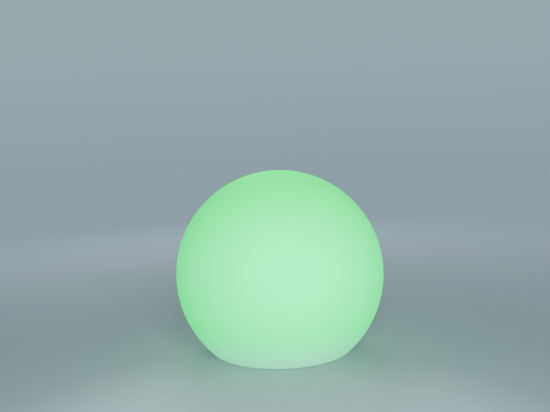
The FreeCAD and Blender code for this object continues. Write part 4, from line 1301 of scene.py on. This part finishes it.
def bufferCapacitor():
    # a sleeved can with a crimp, a stripe down one side and a cross scored in its top
    low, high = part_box("buffer_capacitor")
    centre, radius, edge = middle((low, high)), (high.x - low.x) / 2, capacitor["edge"]
    crimp, wide = low.z + capacitor["crimp"], capacitor["crimpHalf"]
    share, step, sunk = capacitor["topShare"], capacitor["stepShare"], high.z - capacitor["topDepth"]
    outline = [(0, low.z), (radius * capacitor["bottomShare"], low.z)]
    outline.append((radius, low.z + capacitor["bottomEdge"]))
    outline += [(radius, crimp - wide), (radius - capacitor["crimpDepth"], crimp), (radius, crimp + wide)]
    outline += arcPoints(radius - edge, high.z - edge, edge, 0, 90, 5)
    outline += [(radius * (share + step), high.z), (radius * (share - step), sunk), (0, sunk)]
    can = meshObject("bufferCapacitor", spunMesh(outline, capacitor["steps"], centre), 30)
    reach, half = radius * capacitor["scoreReach"], capacitor["scoreHalf"]
    for x, y in ((reach, half), (half, reach)):
        score = newBmesh()
        scoreLow = (centre.x - x, centre.y - y, high.z - capacitor["scoreDepth"])
        addBlock(score, scoreLow, (centre.x + x, centre.y + y, high.z + capacitor["clear"]))
        carved(can, score, "DIFFERENCE", 30)

    def onTop(place):
        return place.z > high.z - edge and (place - centre).to_2d().length < radius * share

    def stripe(bm):
        side = centre.x - radius * capacitor["stripe"]
        repainted(bm, 1, onTop)
        repainted(bm, 2, lambda place: place.z < high.z - edge and place.x < side)

    return stand(detailed(can, stripe, 30), "buffer_capacitor", capacitorMaterial)


connectors = {
    "edge": 0.0003,
    "ridge": 0.0004,
    "ridgeEdge": 0.00015,
    "ridgeEnds": 0.0008,
    "ridgeShare": 0.35,        # of the width on each side of the rib
    "contactPitch": 0.001,
    "contactWidth": 0.0005,
    "contactDepth": 0.0002,
    "contactProud": 0.00003,
    "contactShares": (0.08, 0.27),      # of the width, where the contact windows begin and end
    "ends": 0.002,             # of the length that carries no contacts
}


def addConnector(bm, box):
    # a nylon plug in its header: rounded block, a rib along the top, a row of contact windows
    low, high = box
    size, facts = high - low, connectors
    across = 0 if size.x < size.y else 1
    along = 1 - across

    def corner(acrossPlace, alongPlace, height):
        place = Vector((0, 0, height))
        place[across], place[along] = acrossPlace, alongPlace
        return place

    addBlock(bm, low, high - Vector((0, 0, facts["ridge"])), facts["edge"])
    side, ends = size[across] * facts["ridgeShare"], facts["ridgeEnds"]
    ribLow = corner(low[across] + side, low[along] + ends, high.z - 2 * facts["ridge"])
    addBlock(bm, ribLow, corner(high[across] - side, high[along] - ends, high.z), facts["ridgeEdge"])
    count = int((size[along] - facts["ends"]) / facts["contactPitch"]) + 1
    top, half = high.z - facts["ridge"] + facts["contactProud"], facts["contactWidth"] / 2
    near, far = [low[across] + size[across] * share for share in facts["contactShares"]]
    for place in evenly(count, facts["contactPitch"]):
        centre = middle(box)[along] + place
        windowLow = corner(near, centre - half, top - facts["contactDepth"])
        addBlock(bm, windowLow, corner(far, centre + half, top), finish=1)


def connectorSet(name, node):
    bm = newBmesh()
    for box in solidBoxes(node):
        addConnector(bm, box)
    return stand(meshObject(name, bm, 40), node, connectorMaterial)


cable = {
    "conductors": 7,
    "pitch": 0.001,
    "thickness": 0.0008,
    "web": 0.00024,            # half the thickness between two conductors
    "ribAngles": (160, 125, 90, 55, 20),
    "bend": 0.0025,
    "bendSteps": 8,
    "colour": (0.30, 0.315, 0.335),
    # the dark tone of the grooves between conductors: painted shade
    "line": (0.11, 0.115, 0.125),
}


def ribbonMaterial(name, axis):
    # painted shade: a dark line in the groove between each pair of conductors, along the length of the cable
    material, tree, shader = newMaterial(name)
    side = addNode(tree, "SeparateXYZ", {0: objectPlace(tree)}).outputs[axis]
    wave = worked(tree, "COSINE", worked(tree, "MULTIPLY", side, 2 * math.pi / cable["pitch"]))
    skin = placed(tree, fineGrain, Scale=700.0, Drift=0.10, Roughness=0.45)
    given(tree, shader, {
        "Base Color": mixed(tree, ranged(tree, wave, -0.6, -1.0), cable["colour"], cable["line"]),
        "Roughness": skin["Roughness"],
    })
    return material


def addFlatCable(bm, start, across, heading, moves):
    # a ribbed band, skinned over its sections: each move is a run's length, or a turn's angle
    across, heading, place = Vector(across), Vector(heading), Vector(start)
    up = heading.cross(across)
    half, web, pitch = cable["thickness"] / 2, cable["web"], cable["pitch"]
    profile = []
    for centre in evenly(cable["conductors"], pitch):
        for angle in map(math.radians, cable["ribAngles"]):
            profile.append((centre + pitch / 2 * math.cos(angle), web + (half - web) * math.sin(angle)))
    profile += [(-y, -z) for y, z in profile]
    sections = [(place, up)]
    for kind, amount in moves:
        if kind == "run":
            place = place + heading * amount
            sections.append((place, up))
            continue
        centre = place + up * cable["bend"]
        step = Matrix.Rotation(math.radians(amount) / cable["bendSteps"], 3, heading.cross(up))
        for number in range(cable["bendSteps"]):
            place = centre + step @ (place - centre)
            heading, up = step @ heading, step @ up
            sections.append((place, up))
    rings = []
    for place, up in sections:
        ring = [bm.verts.new(place + across * y + up * z) for y, z in profile]
        rings.append([bm.edges.new(pair) for pair in zip(ring, ring[1:] + ring[:1])])
    for first, second in zip(rings, rings[1:]):
        bmesh.ops.bridge_loops(bm, edges=first + second)
    for end in (rings[0], rings[-1]):
        bmesh.ops.edgeloop_fill(bm, edges=end)
    bmesh.ops.recalc_face_normals(bm, faces=bm.faces)


def ioRibbon():
    # out of the plug on the socket's board, up beside the cup's wall, and in to the control board
    low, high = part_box("io_ribbon")
    half, bend = cable["thickness"] / 2, cable["bend"]
    out = high.x - half - low.x - bend
    rise = high.z - low.z - 2 * half - 2 * bend
    back = high.x - half - bend - max(box[1].x for box in solidBoxes("board_connectors"))
    bm = newBmesh()
    moves = [("run", out), ("turn", 90), ("run", rise), ("turn", 90), ("run", back)]
    addFlatCable(bm, (low.x, 0, low.z + half), (0, 1, 0), (1, 0, 0), moves)
    return stand(meshObject("ioRibbon", bm, 60), "io_ribbon", ribbonMaterial("flatCableY", "Y"))


def ledRibbon():
    low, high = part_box("led_ribbon")
    bm = newBmesh()
    start = (0, middle((low, high)).y, low.z)
    addFlatCable(bm, start, (1, 0, 0), (0, 0, 1), [("run", high.z - low.z)])
    return stand(meshObject("ledRibbon", bm, 60), "led_ribbon", ribbonMaterial("flatCableX", "X"))


chipMaterial = finishesMaterial("mouldedEpoxy", [
    ((0.013, 0.013, 0.014), 0.50, 0.0),
    ((0.62, 0.61, 0.58), 0.30, 1.0),      # pins and tabs
    ((0.05, 0.05, 0.052), 0.60, 0.0),     # dot at pin one
])
capacitorMaterial = finishesMaterial("sleevedCan", [
    ((0.015, 0.017, 0.030), 0.32, 0.0),
    ((0.64, 0.64, 0.65), 0.34, 1.0),      # bare top
    ((0.46, 0.47, 0.48), 0.40, 0.0),      # stripe
])
connectorMaterial = finishesMaterial("nylonPlug", [
    ((0.66, 0.63, 0.54), 0.42, 0.0),
    ((0.66, 0.60, 0.46), 0.28, 1.0),      # contacts
])
controlChip()
driverTransistors()
bufferCapacitor()
connectorSet("boardConnectors", "board_connectors")
connectorSet("ioRibbonPlug", "io_ribbon_plug")
ioRibbon()
ledRibbon()
plainPiece("boardStandoffs", "board_standoffs", 0.0002)
screwSet("ioBoardScrews", "io_board_screws", 0.0014, 0.001)
screwSet("cradleScrew", "cradle_screw", 0.0017, 0.0012)
screwSet("clampScrews", "battery_clamp_screws", 0.0017, 0.0012)
screwSet("ledBoardScrews", "led_board_screws", 0.0018, 0.0015)
screwSet("lensScrews", "lens_screws", 0.0018, 0.0012)
print("board parts made")


# the frosted lens over the lamps

lens = {
    "colour": (0.60, 0.66, 0.62),
    "middleGlow": (0.10, 0.42, 0.16),
    "rimGlow": (0.01, 0.05, 0.02),
    "middleEnds": 0.72,        # shares of the flange's radius
    "rimBegins": 0.86,
    "shoulderRadius": 0.0045,
    "wall": 0.002,
    "flange": 0.003,
    "edge": 0.0006,
    "drumInset": 0.0035,       # of the drum's foot from the circle of the screws
    "lean": 0.0008,
    "holeRadius": 0.0016,
    "holeSteps": 32,
    "clear": 0.0005,           # how far the drill stands out of the flange
    "steps": 128,
}


def frostedMaterial():
    # frosted polycarbonate with the light of the lamps behind it, brightest over the middle
    material, tree, shader = newMaterial("frostedLens")
    flat = addNode(tree, "Mapping", {"Vector": objectPlace(tree), "Scale": (1, 1, 0)})
    away = addNode(tree, "VectorMath", {0: flat.outputs[0]}, operation="LENGTH").outputs["Value"]
    skin = placed(tree, fineGrain, Scale=1600.0, Drift=0.08, Roughness=0.62)
    given(tree, shader, {
        "Base Color": dusted(tree, lens["colour"], 0.12),
        "Emission Color": colourRamp(tree, ranged(tree, away, 0.0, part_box("lens_cover")[1].x), [
            (0.0, lens["middleGlow"]),
            (lens["middleEnds"], lens["middleGlow"]),
            (lens["rimBegins"], lens["rimGlow"]),
        ]),
        "Emission Strength": 1.0,
        "Roughness": skin["Roughness"],
        "Normal": bumped(tree, skin["Height"], 0.25, 0.0002),
    })
    return material


def lensCover():
    # flange, drum with a rounded shoulder, and flat crown, spun as one wall, then drilled
    low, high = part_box("lens_cover")
    boxes, flangeTop = solidBoxes("lens_screws"), low.z + lens["flange"]
    wall, edge, shoulder = lens["wall"], lens["edge"], lens["shoulderRadius"]
    drum = middle(boxes[0]).to_2d().length - lens["drumInset"]
    crown, bend = drum - lens["lean"] - shoulder, high.z - shoulder
    outline = [(0, high.z)] + arcPoints(crown, bend, shoulder, 90, 0, 10) + [(drum, flangeTop)]
    outline += arcPoints(high.x - edge, flangeTop - edge, edge, 90, 0, 4)
    outline += [(high.x, low.z), (drum - wall, low.z)]
    outline += arcPoints(crown, bend, shoulder - wall, 0, 90, 8) + [(0, high.z - wall)]
    piece = meshObject("lensCover", spunMesh(outline, lens["steps"]), 30)
    holes = newBmesh()
    for box in boxes:
        addSpun(holes, disc(lens["holeRadius"], 0, flangeTop + lens["clear"]), lens["holeSteps"], middle(box))
    return stand(carved(piece, holes, "DIFFERENCE", 30), "lens_cover", frostedMaterial())


plainPiece("lensGasket", "lens_gasket", 0.0002)
lensCover()
print("lens made")


# small soldered parts, which have no node of their own, and the welded strip between the cells

smallPart = {
    "resistor": (0.0016, 0.0008, 0.00045, 0),      # length, width, height and finish
    "ceramic": (0.0020, 0.00125, 0.0009, 2),
    "edge": 0.00006,
    "endCap": 0.00035,
    "capOver": 0.00003,
    "capEdge": 0.00008,
}
controlRows = [      # kind, count, first place, step to the next and turn
    ("ceramic", 4, (-0.0095, -0.0045), (0, 0.0030), 0),
    ("resistor", 2, (0.0072, -0.0128), (0, 0.0018), 0),
    ("resistor", 2, (0.0072, -0.0010), (0, 0.0020), 0),
    ("resistor", 2, (0.0072, 0.0110), (0, 0.0018), 0),
    ("resistor", 8, (-0.0090, -0.0185), (0.0022, 0), 90),
    ("ceramic", 6, (-0.0085, -0.0225), (0.0034, 0), 90),
    ("resistor", 3, (-0.0190, -0.0030), (0, 0.0030), 90),
    ("ceramic", 3, (0.0200, -0.0040), (0, 0.0040), 90),
    ("resistor", 5, (0.0030, 0.0205), (0.0022, 0), 90),
]
lampRows = [         # lamps, kind, distance from the middle, places aside and turn
    ("white_leds", "resistor", 0.0172, (-0.0009, 0.0009), 0),
    ("rgb_leds", "ceramic", 0.0289, (0,), 90),
]


def smallPartMesh(kind):
    length, width, height, body = smallPart[kind]
    over, half, cap = smallPart["capOver"], length / 2, smallPart["endCap"]
    inner = half - cap / 2
    part = newBmesh()
    addBlock(part, (-inner, -width / 2, 0), (inner, width / 2, height), smallPart["edge"], body)
    for side in (-1, 1):
        near, far = sorted((side * half, side * (half - cap)))
        low, high = (near, -width / 2 - over, 0), (far, width / 2 + over, height + over)
        addBlock(part, low, high, smallPart["capEdge"], 1)
    return looseMesh(part)


def smallParts(name, board, spots):
    # spots give a kind, a place on top of the board in metres, and a turn in degrees
    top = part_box(board)[1].z
    masters = {kind: smallPartMesh(kind) for kind in ("resistor", "ceramic")}
    bm = newBmesh()
    for kind, x, y, turn in spots:
        addCopy(bm, masters[kind], Matrix.Translation((x, y, top)) @ turnZ(turn))
    piece = meshObject(name, bm, 40)
    piece.data.materials.append(smallPartMaterial)
    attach(piece, bodyOf[board])


def controlSpots():
    return [
        (kind, first[0] + step[0] * number, first[1] + step[1] * number, turn)
        for kind, count, first, step, turn in controlRows
        for number in range(count)
    ]


def lampBoardSpots():
    # two resistors outside each white lamp and one ceramic block outside each coloured lamp
    spots = []
    for node, kind, radius, asides, turn in lampRows:
        for box in solidBoxes(node):
            angle = math.degrees(math.atan2(middle(box).y, middle(box).x))
            for aside in asides:
                place = turnZ(angle) @ Vector((radius, aside, 0))
                spots.append((kind, place.x, place.y, angle + turn))
    return spots


link = {
    "corner": 0.0018,
    "weldRadius": 0.0006,
    "weldTop": 0.6,            # of the radius
    "weldHeight": 0.00006,
    "weldReach": 0.0015,
    "weldSteps": 16,
}


def cellLink():
    # a nickel strip with rounded corners and four weld spots over each cell
    low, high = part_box("cell_link")
    centre, corner, rise = middle((low, high)), link["corner"], link["weldHeight"]
    outline = []
    for turn, side, up in ((0, 1, 1), (90, -1, 1), (180, -1, -1), (270, 1, -1)):
        y = centre.y + side * (high.y - centre.y - corner)
        z = centre.z + up * (high.z - centre.z - corner)
        outline += arcPoints(y, z, corner, turn, turn + 90, 6)
    bm = newBmesh()
    section = bm.faces.new([bm.verts.new((low.x, y, z)) for y, z in outline])
    pushed(bm, section, (high.x - low.x - rise, 0, 0))
    strip = meshObject("cellLink", bm, 30)
    radius, reach = link["weldRadius"], link["weldReach"]
    spot = [(0, -rise), (radius, -rise), (radius, 0), (radius * link["weldTop"], rise), (0, rise)]
    mesh = looseMesh(spunMesh(spot, link["weldSteps"]))
    lie = Matrix.Rotation(math.pi / 2, 4, "Y")

    def welded(bm):
        for cellY in (middle(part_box("battery_cell_" + number)).y for number in "12"):
            for y in (cellY - reach, cellY + reach):
                for z in (centre.z - reach, centre.z + reach):
                    addCopy(bm, mesh, Matrix.Translation((high.x - rise, y, z)) @ lie)

    return stand(detailed(strip, welded, 30), "cell_link")


smallPartMaterial = finishesMaterial("smallParts", [
    ((0.018, 0.018, 0.020), 0.42, 0.0),   # resistor film
    ((0.62, 0.61, 0.58), 0.30, 1.0),      # soldered ends
    ((0.33, 0.21, 0.11), 0.50, 0.0),      # ceramic
], 1200.0)
smallParts("controlBoardParts", "control_board", controlSpots())
smallParts("lampBoardParts", "led_board", lampBoardSpots())
cellLink()


# boards and the plate keep their CAD shape

for node in ("io_board", "protection_board", "control_board", "led_board", "heat_spreader"):
    nodes[node].data.materials.clear()
    nodes[node].data.materials.append(finish[slotOf[node]])
print("boards finished")


# stage, lights and camera

stage = {
    "gap": 0.0001,                     # keeps the floor off the pads' undersides
    "floorRadius": 2.4,
    "sweepRadius": 0.9,
    "sweepRings": 16,
    "steps": 96,
    "wallHeight": 2.6,
    "roughness": 0.75,
    "specular": 0.3,
    "paintedLightPoolMiddle": (-0.02, -0.35, 0),   # a painted pool of light: the floor is palest in front of the ball
    "paintedLightAndShadeTones": [                         # distance from there in metres, and colour: pale in the painted pool of light, darker from 0.36 to 0.75 m as a painted ring of shade about the ball, pale again far off
        (0.00, (0.47, 0.56, 0.545)),
        (0.20, (0.52, 0.62, 0.60)),
        (0.36, (0.27, 0.375, 0.36)),
        (0.75, (0.29, 0.39, 0.40)),
        (1.50, (0.50, 0.59, 0.61)),
    ],
    "fadeFrom": 0.7,                   # from here to there the ground turns into the backdrop, which gives its own light
    "fadeTo": 1.5,
    "backdrop": [                      # height in metres, and the light that it gives, darker low down as painted shade at the foot of the wall
        (0.0, (0.275, 0.345, 0.385)),
        (0.6, (0.308, 0.392, 0.420)),
        (2.6, (0.338, 0.418, 0.440)),
    ],
}


def floorMaterial():
    # a pale floor near the ball with a painted pool of light in front of it and a painted ring of shade about
    # it, a backdrop far from it that gives its own light, painted darker low down, and nothing at all seen
    # from below
    material, tree, shader = newMaterial("paleFloor")
    place = objectPlace(tree)

    def ramped(value, stops, interpolation):
        end = stops[-1][0]
        shares = [(at / end, colour) for at, colour in stops]
        return colourRamp(tree, ranged(tree, value, 0.0, end), shares, interpolation)

    def away(point):
        return addNode(tree, "VectorMath", {0: place, 1: point}, operation="DISTANCE").outputs["Value"]

    given(tree, shader, {
        "Base Color": ramped(away(stage["paintedLightPoolMiddle"]), stage["paintedLightAndShadeTones"], "B_SPLINE"),
        "Roughness": stage["roughness"],
        "Specular IOR Level": stage["specular"],
    })
    height = addNode(tree, "SeparateXYZ", {0: place}).outputs["Z"]
    backdrop = addNode(tree, "Emission", {"Color": ramped(height, stage["backdrop"], "LINEAR")})
    fade = ranged(tree, away((0, 0, 0)), stage["fadeFrom"], stage["fadeTo"], interpolation_type="SMOOTHSTEP")
    ground = addNode(tree, "MixShader", {0: fade, 1: shader.outputs[0], 2: backdrop.outputs[0]})
    under = addNode(tree, "NewGeometry").outputs["Backfacing"]
    clear = addNode(tree, "BsdfTransparent")
    both = addNode(tree, "MixShader", {0: under, 1: ground.outputs[0], 2: clear.outputs[0]})
    given(tree, tree.nodes["Material Output"], {"Surface": both.outputs[0]})
    return material


def roundSweep():
    # a floor that curves up into a wall all round, so that every view has the same plain ground
    floor, bend = stage["floorRadius"], stage["sweepRadius"]
    rise = arcPoints(floor, bend, bend, -90, 0, stage["sweepRings"])
    bm = spunMesh([(0, 0)] + rise + [(floor + bend, stage["wallHeight"])], stage["steps"])
    bmesh.ops.translate(bm, vec=(0, 0, -stage["gap"]), verts=bm.verts)
    bm.faces.ensure_lookup_table()
    if bm.faces[0].normal.z < 0:
        bmesh.ops.reverse_faces(bm, faces=bm.faces)
    sweep = meshObject("floor", bm, 60)
    sweep.data.materials.append(floorMaterial())
    sweep.visible_diffuse = False      # the even light of the sky reaches the underside as well
    sweep.visible_shadow = False


lights = {
    "key": {"place": (0.22, -1.90, 0.66), "size": 1.3, "power": 36.5, "colour": (1.0, 0.90, 1.0)},
    "back": {"place": (-0.20, 1.75, 1.15), "size": 1.2, "power": 9.0, "colour": (1.0, 0.95, 1.0)},
}
aimPoint = Vector((0, 0, 0.12))
sky = {"colour": (0.85, 0.95, 1.0), "strength": 0.42}


def softLight(name):
    facts = lights[name]
    lamp = bpy.data.lights.new(name, "AREA")
    lamp.shape = "DISK"
    lamp.size = facts["size"]
    lamp.energy = facts["power"]
    lamp.color = facts["colour"]
    holder = bpy.data.objects.new(name, lamp)
    holder.location = facts["place"]
    aim = aimPoint - holder.location
    holder.rotation_euler = aim.to_track_quat("-Z", "Y").to_euler()
    scene.collection.objects.link(holder)


def skyLight():
    world = bpy.data.worlds.new("sky")
    world.use_nodes = True
    ground = world.node_tree.nodes["Background"]
    given(world.node_tree, ground, {"Color": sky["colour"], "Strength": sky["strength"]})
    scene.world = world


view = {
    "imageSize": (550, 412),
    "ballPixel": (279.85, 272.95),     # where the centre of the ball lies in the picture
    "distance": 1.2,
    "elevation": 11.8,
    "roll": 1.86,
    "focalPixels": 820.0,
    "sensor": 36.0,
}


def photographCamera():
    # looks at the ball, rolls about that line, then turns so that the ball lies where the picture has it
    tilt = math.radians(view["elevation"])
    right = Vector((1, 0, 0))
    up = Vector((0, math.sin(tilt), math.cos(tilt)))
    back = Vector((0, -math.cos(tilt), math.sin(tilt)))
    width, height = view["imageSize"]
    focal = view["focalPixels"]
    across = (view["ballPixel"][0] - width / 2) / focal
    above = (height / 2 - view["ballPixel"][1]) / focal
    roll = Matrix.Rotation(math.radians(view["roll"]), 3, "Z")
    turn = Vector((0, 0, -1)).rotation_difference(Vector((across, above, -1))).to_matrix()
    frameAxes = Matrix((right, up, back)).transposed()
    facing = frameAxes @ roll.transposed() @ turn.transposed()
    optics = bpy.data.cameras.new("camera")
    optics.sensor_width = view["sensor"]
    optics.lens = focal / width * view["sensor"]
    camera = bpy.data.objects.new("camera", optics)
    place = Vector((0, 0, ball["centreZ"])) + back * view["distance"]
    camera.matrix_world = Matrix.Translation(place) @ facing.to_4x4()
    scene.collection.objects.link(camera)
    scene.camera = camera


roundSweep()
for name in lights:
    softLight(name)
skyLight()
photographCamera()
scene.view_settings.view_transform = "Standard"
print("stage, lights and camera placed")
